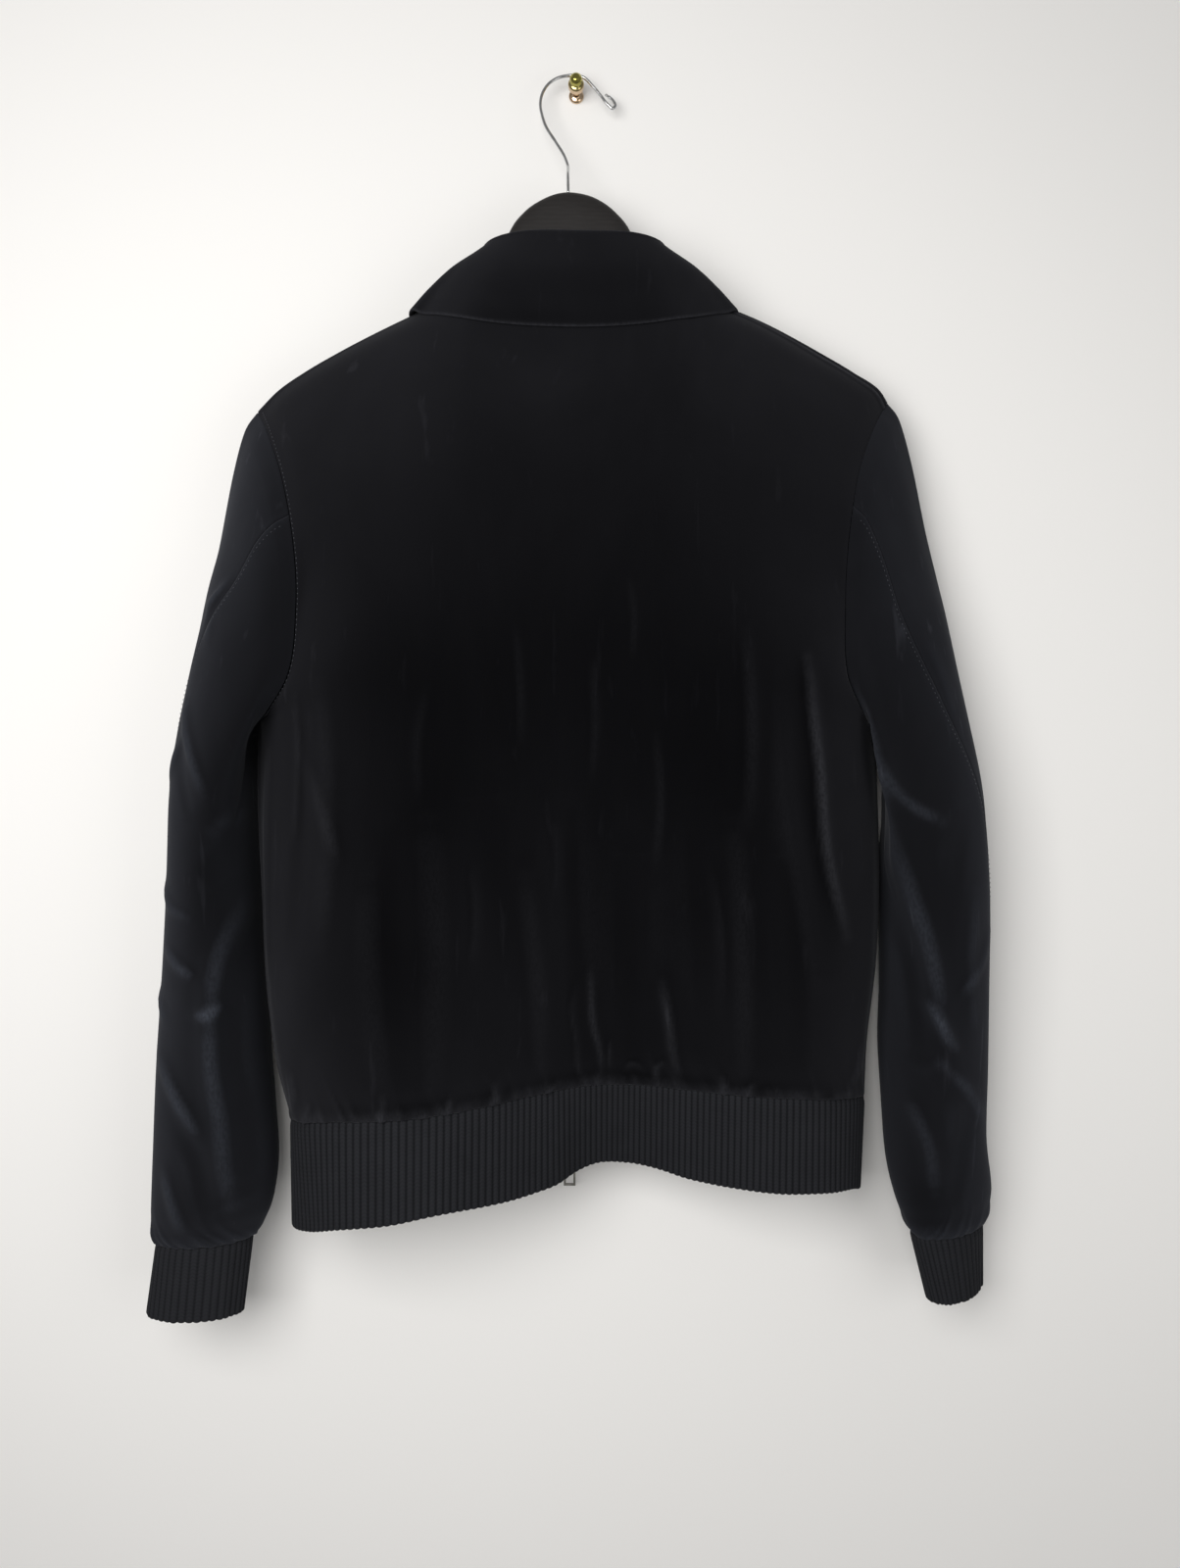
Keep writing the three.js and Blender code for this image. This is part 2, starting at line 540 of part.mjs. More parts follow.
// Closed skin over rings of points, each end filled by a fan from its middle.
function skin(name, rings, finish) {
  const count = rings[0].length;
  const positions = rings.flat();
  const triangles = [];
  for (let k = 0; k < rings.length - 1; k += 1) {
    for (let i = 0; i < count; i += 1) {
      const a = k * count + i;
      const b = k * count + ((i + 1) % count);
      triangles.push([a, b, b + count], [a, b + count, a + count]);
    }
  }
  [0, rings.length - 1].forEach((k) => {
    const middle = positions.length;
    const sum = rings[k].reduce((total, point) => plus(total, point), [0, 0, 0]);
    positions.push(sum.map((value) => value / count));
    for (let i = 0; i < count; i += 1) {
      const a = k * count + i;
      const b = k * count + ((i + 1) % count);
      triangles.push(k === 0 ? [middle, b, a] : [middle, a, b]);
    }
  });
  return body(name, positions, triangles, finish);
}

// Body panels
const stepsBetween = (from, to, cells) =>
  Array.from({ length: cells - 1 }, (_, k) => lerp(from, to, (k + 1) / cells));
const backColumns = [
  ...SHOULDER_COLUMNS.map((f) => f * BACK_SHOULDER),
  ...stepsBetween(BACK_SHOULDER, 1 - BACK_SHOULDER, NECK_CELLS),
  ...SHOULDER_COLUMNS.map((f) => 1 - f * BACK_SHOULDER).reverse(),
];
const frontColumns = [
  ...SHOULDER_COLUMNS.map((f) => f * FRONT_SHOULDER),
  ...stepsBetween(FRONT_SHOULDER, 1, FRONT_NECK_CELLS),
  1,
];
const SHOULDER_LAST = SHOULDER_COLUMNS.length - 1;
const UNDERARM_ROW = ROWS.indexOf(UNDERARM);
const TOP_ROW = ROWS.length - 1;
const hemBack = curve(HEM_BACK);
const hemFrontLeft = curve(HEM_FRONT_LEFT);
const hemFrontRight = curve(HEM_FRONT_RIGHT);
const backSurface = panelSurface({
  bottom: hemBack,
  top: backTop,
  near: sideEdge(SIDE_LEFT, ARMHOLE_BACK_LEFT),
  far: sideEdge(SIDE_RIGHT, ARMHOLE_BACK_RIGHT),
  across: BACK_ACROSS,
  depth: BACK_DEPTH,
  fade: FADE.backSide,
});
const frontLeftSurface = panelSurface({
  bottom: hemFrontLeft,
  top: frontTop(shoulderLeft, NECK_POINT, 0),
  near: sideEdge(SIDE_LEFT, ARMHOLE_FRONT_LEFT),
  far: centreLeft,
  across: FRONT_ACROSS,
  depth: FRONT_LEFT_DEPTH,
  fade: FADE.frontSide,
});
const frontRightSurface = panelSurface({
  bottom: hemFrontRight,
  top: frontTop(shoulderRight, 1 - NECK_POINT, 1),
  near: sideEdge(SIDE_RIGHT, ARMHOLE_FRONT_RIGHT),
  far: centreRight,
  across: FRONT_ACROSS,
  depth: FRONT_RIGHT_DEPTH,
  fade: FADE.frontSide,
});
const panels = {
  back: { grid: gridOf(backColumns, ROWS, backSurface), sign: 1 },
  left: { grid: gridOf(frontColumns, ROWS, frontLeftSurface), sign: -1 },
  right: { grid: gridOf(frontColumns, ROWS, frontRightSurface), sign: 1 },
};
Object.values(panels).forEach((panel) => {
  panel.way = normals(panel.grid, panel.sign);
});

// The two panels of a seam share one way inward, the middle of their own.
function share(first, i, j, second, m, n) {
  const way = unit(plus(first.way[i][j], second.way[m][n]));
  first.way[i][j] = way;
  second.way[m][n] = way;
}
const lastBack = backColumns.length - 1;
ROWS.forEach((_, j) => {
  if (j > UNDERARM_ROW) return;
  share(panels.back, 0, j, panels.left, 0, j);
  share(panels.back, lastBack, j, panels.right, 0, j);
});
for (let i = 0; i <= SHOULDER_LAST; i += 1) {
  share(panels.back, i, TOP_ROW, panels.left, i, TOP_ROW);
  share(panels.back, lastBack - i, TOP_ROW, panels.right, i, TOP_ROW);
}
// Hem edges go in level, neck edges go in toward the neck, armhole edges square to their ring.
Object.values(panels).forEach((panel) => {
  panel.way.forEach((line) => {
    line[0] = level(line[0]);
  });
});
for (let i = SHOULDER_LAST; i <= lastBack - SHOULDER_LAST; i += 1) {
  const f = (backColumns[i] - BACK_SHOULDER) / (1 - 2 * BACK_SHOULDER);
  panels.back.way[i][TOP_ROW] = neckOut(lerp(NECK_POINT, 1 - NECK_POINT, f));
}
for (let i = SHOULDER_LAST; i < frontColumns.length; i += 1) {
  const f = (frontColumns[i] - FRONT_SHOULDER) / (1 - FRONT_SHOULDER);
  panels.left.way[i][TOP_ROW] = neckOut(lerp(NECK_POINT, 0, f));
  panels.right.way[i][TOP_ROW] = neckOut(lerp(1 - NECK_POINT, 1, f));
}
function armhole(backColumn, front) {
  const backEdge = panels.back.grid[backColumn].slice(UNDERARM_ROW);
  const frontEdge = front.grid[0].slice(UNDERARM_ROW);
  const ring = [...backEdge.slice().reverse(), ...frontEdge.slice(1, -1)];
  const middle = mixed(backEdge[0], backEdge[backEdge.length - 1], 0.5);
  const closed = [ring[ring.length - 1], ...ring, ring[0]];
  const ways = ringWay(closed, middle).slice(1, -1);
  const half = backEdge.length - 1;
  backEdge.forEach((_, k) => {
    panels.back.way[backColumn][UNDERARM_ROW + k] = ways[half - k];
    front.way[0][UNDERARM_ROW + k] = ways[(half + k) % ring.length];
  });
  return { ring, ways };
}
const armholeLeft = armhole(0, panels.left);
const armholeRight = armhole(lastBack, panels.right);

// Panel edges drawn back from a seam, then the wall's inner side.
function drawBack(panel, edges) {
  const last = panel.grid.length - 1;
  const moves = [];
  const pull = (i, j, m, n) => {
    const point = panel.grid[i][j];
    moves.push([i, j, plus(point, unit(minus(panel.grid[m][n], point)), SEAM_PULL)]);
  };
  for (let j = 0; j < UNDERARM_ROW; j += 1) {
    pull(0, j, 1, j);
    if (edges.far) pull(last, j, last - 1, j);
  }
  for (let i = 0; i <= SHOULDER_LAST; i += 1) {
    pull(i, TOP_ROW, i, TOP_ROW - 1);
    if (edges.far) pull(last - i, TOP_ROW, last - i, TOP_ROW - 1);
  }
  pull(0, UNDERARM_ROW, 1, UNDERARM_ROW - 1);
  if (edges.far) pull(last, UNDERARM_ROW, last - 1, UNDERARM_ROW - 1);
  moves.forEach(([i, j, point]) => {
    panel.grid[i][j] = point;
  });
}
drawBack(panels.back, { far: true });
drawBack(panels.left, { far: false });
drawBack(panels.right, { far: false });
const inward = (grid, way, depth) =>
  grid.map((line, i) => line.map((point, j) => plus(point, way[i][j], -depth)));
const panelWall = (name, panel) =>
  wall(name, panel.grid, inward(panel.grid, panel.way, VELVET), false, VELVET_FINISH);

// Sleeves
function sleeve(rows, hole, side) {
  const stations = rows.map((_, k) => k / (rows.length - 1));
  const numbers = rows.map((row) => [...row.outer, ...row.inner, row.y, row.deep, row.twist, row.turn]);
  const count = hole.ring.length;
  const half = count / 2;
  // Chord share of each armhole point, from the shoulder tip (0) to the underarm (180) and on.
  const steps = hole.ring.map((point, k) => length(minus(hole.ring[(k + 1) % count], point)));
  const total = [
    steps.slice(0, half).reduce((sum, step) => sum + step, 0),
    steps.slice(half).reduce((sum, step) => sum + step, 0),
  ];
  const angles = [0];
  for (let k = 1; k < count; k += 1) {
    const part = k <= half ? 0 : 1;
    angles.push(angles[k - 1] + (180 * steps[k - 1]) / total[part]);
  }
  const oval = (s, angle) => {
    const [ox, oz, ix, iz, y, deep, , turn] = through(stations, numbers, s);
    const centre = [(ox + ix) / 2, y, (oz + iz) / 2];
    const axis = [(ox - ix) / 2, 0, (oz - iz) / 2];
    const c = Math.cos(turn * DEGREE);
    const r = Math.sin(turn * DEGREE) * side;
    const wide = [axis[0] * c, axis[0] * r, axis[2]];
    const thick = [deep * r, -deep * c, 0];
    const across = plus(centre, wide, Math.cos(angle * DEGREE));
    return {
      point: plus(across, thick, Math.sin(angle * DEGREE)),
      way: ovalWay(wide, thick, angle),
    };
  };
  const pointAt = (k, s) => {
    const twist = through(stations, numbers, s)[6];
    const point = oval(s, angles[k] + twist).point;
    const start = oval(0, angles[k]).point;
    const under = angles[k] > 180 ? Math.sqrt(Math.max(0, -Math.cos(angles[k] * DEGREE))) : 0;
    const stay = 1 - smooth(s / (ARMHOLE_FADE * (1 - UNDER_FRONT_FADE * under)));
    return plus(plus(point, minus(hole.ring[k], start), stay), [side * SEAM_STEP, 0, 0]);
  };
  const grid = angles.map((_, k) => stations.map((s) => pointAt(k, s)));
  const way = normals(grid, side, true);
  const twistEnd = numbers[numbers.length - 1][6];
  const lastRing = stations.length - 1;
  angles.forEach((angle, k) => {
    way[k][0] = hole.ways[k];
    way[k][lastRing] = oval(1, angle + twistEnd).way;
    // Between the two seams the cloth lies outside the table's ovals.
    for (let j = 1; j < lastRing; j += 1) grid[k][j] = plus(grid[k][j], way[k][j], VELVET);
  });
  return { grid, way, end: (angle) => oval(1, angle) };
}
function sleevePanel(name, form, from, to) {
  const count = form.grid.length;
  const picks = Array.from({ length: to - from + 1 }, (_, k) => (from + k + count) % count);
  const grid = picks.map((k) => form.grid[k].slice());
  const way = picks.map((k) => form.way[k]);
  const last = grid.length - 1;
  const drawn = (line, beside) =>
    line.map((point, j) => plus(point, unit(minus(beside[j], point)), SEAM_PULL));
  grid[0] = drawn(grid[0], grid[1]);
  grid[last] = drawn(grid[last], grid[last - 1]);
  return wall(name, grid, inward(grid, way, VELVET), false, VELVET_FINISH);
}
const sleeveLeft = sleeve(SLEEVE_LEFT, armholeLeft, -1);
const sleeveRight = sleeve(SLEEVE_RIGHT, armholeRight, 1);
const SLEEVE_COUNT = armholeLeft.ring.length;

// Ribbed cuff from the sleeve's lower ring to its own.
function cuff(name, form, low, side) {
  const count = CUFF_RIBS * 2;
  const c = Math.cos(low.turn * DEGREE);
  const r = Math.sin(low.turn * DEGREE) * side;
  const wide = [side * low.wide * c, side * low.wide * r, 0];
  const thick = [low.deep * r, -low.deep * c, 0];
  const middle = mixed(form.end(0).point, form.end(180).point, 0.5);
  const axis = unit(minus(low.centre, middle));
  const outer = [];
  const inner = [];
  for (let k = 0; k < count; k += 1) {
    const angle = (360 * k) / count;
    const rise = k % 2 === 0 ? RIB_RISE : 0;
    const start = form.end(angle);
    const top = plus(start.point, axis, SEAM_STEP);
    const across = plus(low.centre, wide, Math.cos(angle * DEGREE));
    const foot = plus(across, thick, Math.sin(angle * DEGREE));
    const footWay = ovalWay(wide, thick, angle);
    outer.push([plus(foot, footWay, rise), plus(top, start.way, rise - RIB_RISE / 2)]);
    inner.push([plus(foot, footWay, -KNIT), plus(top, start.way, -KNIT)]);
  }
  return wall(name, outer, inner, true, KNIT_FINISH);
}

// Ribbed hem band, one long strip from centre edge to centre edge.
function hemBand() {
  const seam = [
    ...HEM_FRONT_LEFT.slice().reverse(),
    ...HEM_BACK.slice(1),
    ...HEM_FRONT_RIGHT.slice(1),
  ];
  const foot = [...BAND_FRONT_LEFT, ...BAND_BACK, ...BAND_FRONT_RIGHT];
  const stations = chords(seam);
  const total = stations[stations.length - 1];
  const topLine = (t) => through(stations, seam, t * total);
  const footLine = (t) => through(stations, foot, t * total);
  const count = HEM_RIBS * 2;
  const outer = [];
  const inner = [];
  const halfStep = 0.5 / count;
  const edge = (line, t) => {
    const along = minus(line(Math.min(1, t + halfStep)), line(Math.max(0, t - halfStep)));
    return unit([along[1], -along[0], 0]);
  };
  for (let k = 0; k <= count; k += 1) {
    const t = k / count;
    const rise = k % 2 === 0 ? 0 : RIB_RISE;
    const topWay = edge(topLine, t);
    const footWay = edge(footLine, t);
    const top = plus(topLine(t), [0, 0, -SEAM_STEP]);
    outer.push([plus(footLine(t), footWay, rise), plus(top, topWay, rise - RIB_RISE / 2)]);
    inner.push([plus(footLine(t), footWay, -KNIT), plus(top, topWay, -KNIT)]);
  }
  return wall("hem_rib", outer, inner, false, KNIT_FINISH);
}

// Folded collar: stand up from the neckline, over the roll and down the leaf.
function collarSurface(t, w) {
  const out = neckOut(t);
  const up = [0, 0, 1];
  const base = plus(plus(neckSeam(t), up, COLLAR_LIFT), out, -VELVET / 2);
  const roll = neckRoll(t);
  const leaf = neckLeaf(t);
  const around = (reach, drop) => plus(plus(roll, out, reach), up, -drop);
  const inside = around(-ROLL.reach, ROLL.drop);
  const outside = around(ROLL.reach, ROLL.drop);
  const points = [
    base,
    mixed(base, inside, STAND_MIDDLE),
    inside,
    around(-ROLL.shoulderReach, ROLL.shoulderDrop),
    roll,
    around(ROLL.shoulderReach, ROLL.shoulderDrop),
    outside,
    plus(mixed(outside, leaf, LEAF_SHARES[0]), out, LEAF_SWELL),
    plus(mixed(outside, leaf, LEAF_SHARES[1]), out, LEAF_SWELL / 2),
    leaf,
  ];
  return through(PROFILE, points, w);
}
function collar() {
  const columns = Array.from({ length: COLLAR_COLUMNS + 1 }, (_, k) => k / COLLAR_COLUMNS);
  const grid = gridOf(columns, PROFILE_CUTS, collarSurface);
  const way = normals(grid, 1);
  columns.forEach((t, i) => {
    const out = neckOut(t);
    const sign = Math.sign(way[i][0][0] * out[0] + way[i][0][1] * out[1]) || 1;
    way[i][0] = out.map((value) => value * sign);
  });
  const half = COLLAR_WALL / 2;
  return wall("collar", inward(grid, way, -half), inward(grid, way, half), false, VELVET_FINISH);
}

// Zip tape behind one front edge; side is the way from the cloth to the opening.
function zipTape(name, line, side) {
  const foot = line(0);
  const path = [
    [foot[0], TAPE_BAND_Y, TAPE_FOOT],
    [foot[0], TAPE_BAND_Y, TAPE_BAND_TOP],
  ];
  for (let k = 0; k <= TAPE_CELLS; k += 1) {
    path.push(plus(line(lerp(TAPE_FIRST, TAPE_LAST, k / TAPE_CELLS)), [0, -TAPE_BEHIND, 0]));
  }
  const across = [-TAPE_UNDER * side, 0, TAPE_OUT * side];
  const layer = (y) => across.map((x) => path.map((point) => plus(point, [x, y, 0])));
  return wall(name, layer(0), layer(-TAPE_WALL), false, TAPE_FINISH);
}

// Small metal pieces from joined blocks
const solids = await Module();
solids.setup();
const block = (x, y, z, wide, deep, high) =>
  solids.Manifold.cube([wide, deep, high], true).translate([x, y, z]);
function metal(name, solid) {
  const { vertProperties, triVerts, numProp } = solid.getMesh();
  const triples = (numbers, step) =>
    Array.from({ length: numbers.length / step }, (_, k) => [...numbers.slice(k * step, k * step + 3)]);
  return body(name, triples(vertProperties, numProp), triples(triVerts, 3), STEEL_FINISH);
}
const sliderMiddle = SLIDER.top - SLIDER.high / 2;
const sliderFace = SLIDER.y + SLIDER.slot / 2 + SLIDER.plate;
const HINGE_Y = sliderFace + BAIL.open / 2;
const HINGE_Z = sliderMiddle;
function zipSlider() {
  const plateY = (SLIDER.slot + SLIDER.plate) / 2;
  const bailY = sliderFace + BAIL.open + BAIL.thick / 2;
  const legY = sliderFace + (BAIL.open + BAIL.thick) / 2;
  const legZ = (BAIL.open + BAIL.thick) / 2;
  const { x, y, wide, high, plate, web, slot } = SLIDER;
  return metal(
    "zip_slider",
    solids.Manifold.union([
      block(x, y + plateY, sliderMiddle, wide, plate, high),
      block(x, y - plateY, sliderMiddle, wide, plate, high),
      block(x, y, sliderMiddle, web, slot + plate, high),
      block(x, bailY, HINGE_Z, BAIL.wide, BAIL.thick, BAIL.open + 2 * BAIL.thick),
      block(x, legY - BAIL.thick / 2, HINGE_Z + legZ, BAIL.wide, BAIL.open + BAIL.thick, BAIL.thick),
      block(x, legY - BAIL.thick / 2, HINGE_Z - legZ, BAIL.wide, BAIL.open + BAIL.thick, BAIL.thick),
    ]),
  );
}
function zipBox() {
  const { wide, high, web, plate, slot, below } = BOX;
  const z = SLIDER.top - SLIDER.high - below - high / 2;
  const plateY = (slot + plate) / 2;
  return metal(
    "zip_box",
    solids.Manifold.union([
      block(SLIDER.x + wide / 2, SLIDER.y + plateY, z, wide, plate, high),
      block(SLIDER.x + wide / 2, SLIDER.y - plateY, z, wide, plate, high),
      block(SLIDER.x + web / 4, SLIDER.y, z, web / 2, slot + plate, high),
    ]),
  );
}
function zipPull() {
  const top = HINGE_Z + PULL.bar / 2;
  const high = top - PULL.foot;
  const z = (top + PULL.foot) / 2;
  const frame = 2 * PULL.bar;
  const ring = block(SLIDER.x, HINGE_Y, z, PULL.wide, PULL.bar, high);
  const window = block(SLIDER.x, HINGE_Y, z, PULL.wide - frame, frame, high - frame);
  return metal("zip_pull", ring.subtract(window));
}

// Wooden hanger: rounded sections square to x.
function hanger() {
  const rings = HANGER_ROWS.map(([x, top, under, half]) => {
    const middle = (top + under) / 2;
    const high = (top - under) / 2;
    const y = HANGER_Y + HANGER_LEAN * x;
    return Array.from({ length: HANGER_ROUND }, (_, k) => {
      const angle = (2 * Math.PI * k) / HANGER_ROUND;
      const soft = (value) => Math.sign(value) * Math.abs(value) ** (2 / HANGER_SQUARE);
      return [x, y + half * soft(Math.cos(angle)), middle + high * soft(Math.sin(angle))];
    });
  });
  return skin("hanger", rings, WOOD_FINISH);
}

// Wire hook: round sections carried along the centre line without turning about it.
function hangerHook() {
  const line = curve(HOOK);
  const centres = Array.from({ length: WIRE_STEPS + 1 }, (_, k) => line(k / WIRE_STEPS));
  let side = [0, 1, 0];
  const rings = centres.map((centre, k) => {
    const before = centres[Math.max(0, k - 1)];
    const after = centres[Math.min(WIRE_STEPS, k + 1)];
    const along = unit(minus(after, before));
    const dot = side.reduce((sum, value, n) => sum + value * along[n], 0);
    side = unit(plus(side, along, -dot));
    const other = cross(along, side);
    return Array.from({ length: WIRE_ROUND }, (_, n) => {
      const angle = (2 * Math.PI * n) / WIRE_ROUND;
      return plus(plus(centre, side, WIRE * Math.cos(angle)), other, WIRE * Math.sin(angle));
    });
  });
  return skin("hanger_hook", rings, CHROME_FINISH);
}

// Turned peg on the wall, its flange at the origin.
function wallPeg() {
  const rings = PEG.map(([radius, away]) =>
    Array.from({ length: PEG_ROUND }, (_, k) => {
      const angle = (2 * Math.PI * k) / PEG_ROUND;
      return [radius * Math.cos(angle), -away, radius * Math.sin(angle)];
    }),
  );
  return skin("wall_peg", rings, BRASS_FINISH);
}

const sleeveFront = FRONT_SEAM_COLUMN - SLEEVE_COUNT;
const cloth = [
  panelWall("back", panels.back),
  panelWall("front_left", panels.left),
  panelWall("front_right", panels.right),
  collar(),
  sleevePanel("sleeve_left_upper", sleeveLeft, sleeveFront, BACK_SEAM_COLUMN),
  sleevePanel("sleeve_left_under", sleeveLeft, BACK_SEAM_COLUMN, FRONT_SEAM_COLUMN),
  sleevePanel("sleeve_right_upper", sleeveRight, sleeveFront, BACK_SEAM_COLUMN),
  sleevePanel("sleeve_right_under", sleeveRight, BACK_SEAM_COLUMN, FRONT_SEAM_COLUMN),
  cuff("cuff_left", sleeveLeft, CUFF_LEFT, -1),
  cuff("cuff_right", sleeveRight, CUFF_RIGHT, 1),
  hemBand(),
  zipTape("zip_tape_left", centreLeft, 1),
  zipTape("zip_tape_right", centreRight, -1),
  zipSlider(),
  zipBox(),
  zipPull(),
  hanger(),
];
const jacket = new THREE.Group();
jacket.name = "bomber_jacket";
cloth.forEach((mesh) => {
  mesh.position.z = -TABLE_RISE;
  jacket.add(mesh);
});
jacket.add(hangerHook(), wallPeg());

export default jacket;
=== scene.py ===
"""A black velvet bomber jacket on a wooden hanger, seen from the back against a pale wall.

The cloth is worked out as numpy surfaces from the jacket's own seams, then given its seams' dips,
gathers and creases. Tables are in millimetres: X across, Y into the wall, Z up.
"""
import math

import bpy
import numpy as np
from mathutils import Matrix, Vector


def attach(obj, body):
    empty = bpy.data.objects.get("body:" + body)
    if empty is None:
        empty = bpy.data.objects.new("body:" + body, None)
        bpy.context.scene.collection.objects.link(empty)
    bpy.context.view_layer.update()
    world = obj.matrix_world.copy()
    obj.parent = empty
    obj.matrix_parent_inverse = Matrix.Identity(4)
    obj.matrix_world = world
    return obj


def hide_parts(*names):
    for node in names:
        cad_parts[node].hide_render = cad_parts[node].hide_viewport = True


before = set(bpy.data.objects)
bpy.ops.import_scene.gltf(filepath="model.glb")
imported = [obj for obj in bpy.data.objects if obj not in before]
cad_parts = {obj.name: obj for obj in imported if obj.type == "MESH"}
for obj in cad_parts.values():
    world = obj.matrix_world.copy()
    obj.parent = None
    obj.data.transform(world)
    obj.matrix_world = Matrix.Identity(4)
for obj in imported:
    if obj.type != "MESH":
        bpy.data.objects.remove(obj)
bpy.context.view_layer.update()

MM = 0.001
# Heights of the cloth, zip and hanger tables are read from a line this far above the peg's axis.
TABLE_RISE = 3.7

# Camera and room
CAMERA_PLACE = (0.0107, -0.920, -0.5377)
LENS_MM = 27.0
SENSOR_MM = 36.0
WALL_BEHIND = 0.0004
WALL_HALF = 4.0
ROOM_LIGHT = 0.27
# Lamps: name, place, aim, size, power
LAMPS = [
    ("window light", (-0.36, -1.10, -0.34), (-0.1, 0, -0.42), 0.8, 12.6),
    ("room fill", (0.85, -1.15, -0.66), (0.25, 0, -0.60), 0.8, 3.0),
    ("low fill", (-0.05, -1.20, -1.10), (0, 0, -0.7), 0.8, 0.4),
]

# Cloth walls and knit
VELVET = 1.6
KNIT = 2.2
COLLAR_HALF = 1.2
SEAM_STEP = 0.35
HEM_COLUMNS = 1800
# Rib pitch of the hem band across the back (x, pitch) and on the fronts
RIB_PITCH = ((-205, -60, -5, 40, 110, 212), (5.3, 5.0, 3.9, 3.9, 4.5, 4.7))
FRONT_PITCH = 5.0
CUFF_RIBS = 38
# How far the ribs' ends stand below the hollows between them
FOOT_SCALLOP = 0.8
UNDERARM = 0.5
BACK_SHOULDER = 0.325
FRONT_SHOULDER = 0.6
# Height of a ridge whose crest gets the full painted highlight, and rounds of evening it is measured against
CREST_HEIGHT = 2.3
CREST_ROUNDS = 22

# Neckline and collar, left half: share along, seam, roll line, leaf edge, way out
COLLAR_ROWS = [
    (0.00, (-24, -20, -257), (-29, -17, -245), (-54, -9, -316), (-0.7, 0.7)),
    (0.10, (-44, -22, -238), (-45, -19, -219), (-86, -9, -290), (-0.6, 0.8)),
    (0.20, (-68, -27, -206), (-60, -24, -181), (-112, -17, -238), (-0.9, 0.5)),
    (0.27, (-81, -38, -177), (-69, -37, -149.5), (-120, -34, -195), (-1, 0.1)),
    (0.33, (-82, -50, -171), (-65, -52, -142.5), (-120, -59, -188.6), (-0.95, -0.3)),
    (0.39, (-70, -64, -171), (-56.5, -69, -140.5), (-104, -80, -197), (-0.7, -0.7)),
    (0.44, (-45, -75, -174), (-37, -79, -140.5), (-68, -94, -208), (-0.35, -0.93)),
    (0.50, (0, -80, -176), (0, -84, -142), (0, -98, -213), (0, -1)),
]
NECK_TURN = 3
NECK_PIVOT = (0, -62)
NECK_TILT = 0.02
NECK_POINT = 0.33

# Seams of the body
SIDE_LEFT = [(-205, -73, -773.5), (-213, -74, -744), (-221, -75, -690),
             (-226, -73, -610), (-231, -66, -540), (-232, -60, -487)]
SIDE_RIGHT = [(212.5, -55, -763), (214, -56, -724), (220, -59, -666),
              (223, -57, -600), (223.5, -50, -545), (222.5, -45, -494)]
ARMHOLE_BACK_LEFT = [(-232, -60, -487), (-214, -96, -481), (-199, -108, -462), (-192, -109, -412),
                     (-198, -102, -350), (-206, -94, -318), (-221, -77, -281), (-233, -58, -261)]
ARMHOLE_FRONT_LEFT = [(-232, -60, -487), (-217, -30, -480), (-204, -20, -457), (-198, -18, -412),
                      (-203, -22, -350), (-211, -29, -310), (-223, -43, -277), (-233, -58, -261)]
ARMHOLE_BACK_RIGHT = [(222.5, -45, -494), (207, -80, -486), (194, -91, -464), (190.5, -92, -410),
                      (196, -86, -345), (204, -77, -308), (221, -57, -268), (234.4, -36, -247.5)]
ARMHOLE_FRONT_RIGHT = [(222.5, -45, -494), (210, -20, -484), (202, -12, -458), (198, -11, -409),
                       (203, -12, -345), (211, -16, -303), (224, -25, -264), (234.4, -36, -247.5)]
SHOULDER_LEFT = [(-233, -58, -261), (-218.5, -58, -246), (-197, -58, -231), (-174.6, -58, -218),
                 (-125, -56, -192)]
SHOULDER_RIGHT = [(234.4, -36, -247.5), (229.5, -37, -240), (208, -40, -226), (183.7, -43, -213),
                  (129, -46, -186)]
HEM_BACK = [(-205, -73, -773.5), (-190, -103, -769), (-165, -119, -764.5), (-123, -124, -762),
            (-90, -119, -759.5), (-58, -106, -756.5), (-28, -92, -753), (-12, -86.5, -751),
            (2, -82.5, -749.5), (16.5, -80, -748.8), (38, -79, -749), (59, -80, -750),
            (80, -84, -751.5), (114, -91, -753.5), (148, -94, -755), (183, -88, -757),
            (204, -72, -760), (212.5, -55, -763)]
HEM_FRONT_LEFT = [(-205, -73, -773.5), (-205, -52, -773), (-196, -30, -771), (-172, -16, -767),
                  (-100, -13, -759), (-16, -14, -755)]
HEM_FRONT_RIGHT = [(212.5, -55, -763), (208, -36, -762), (195, -20, -760), (165, -13, -757),
                   (90, -12, -755), (2, -14, -755)]
CENTRE_LEFT = [(-16, -14, -755), (-17.5, -13, -700), (-20, -12, -600), (-21, -14, -450),
               (-22, -19, -350), (-23, -21, -290)]
CENTRE_RIGHT = [(2, -14, -755), (3.5, -13, -700), (6, -12, -600), (9, -12, -450),
                (13, -14, -350), (18, -16, -290)]
BAND_FOOT = [(-16, -14, -824), (-100, -13, -828), (-170, -16, -836), (-194, -30, -842),
             (-203.5, -52, -848.5), (-204, -74, -850.5), (-186, -101, -846), (-165, -115, -840),
             (-123, -125, -832.5), (-90.6, -120, -827.5), (-58.6, -105, -826.7), (-28.8, -88, -824),
             (-11.8, -77, -821), (2, -64, -816), (16.5, -55, -812.8), (38, -54, -813),
             (59.3, -62, -815), (80, -72, -818.8), (113.8, -84, -821.7), (147.5, -91, -823.5),
             (182.6, -87, -824), (202, -72, -826), (209, -55, -831), (205, -38, -831),
             (193, -22, -829), (165, -14, -827), (90, -12, -825), (2, -14, -824)]

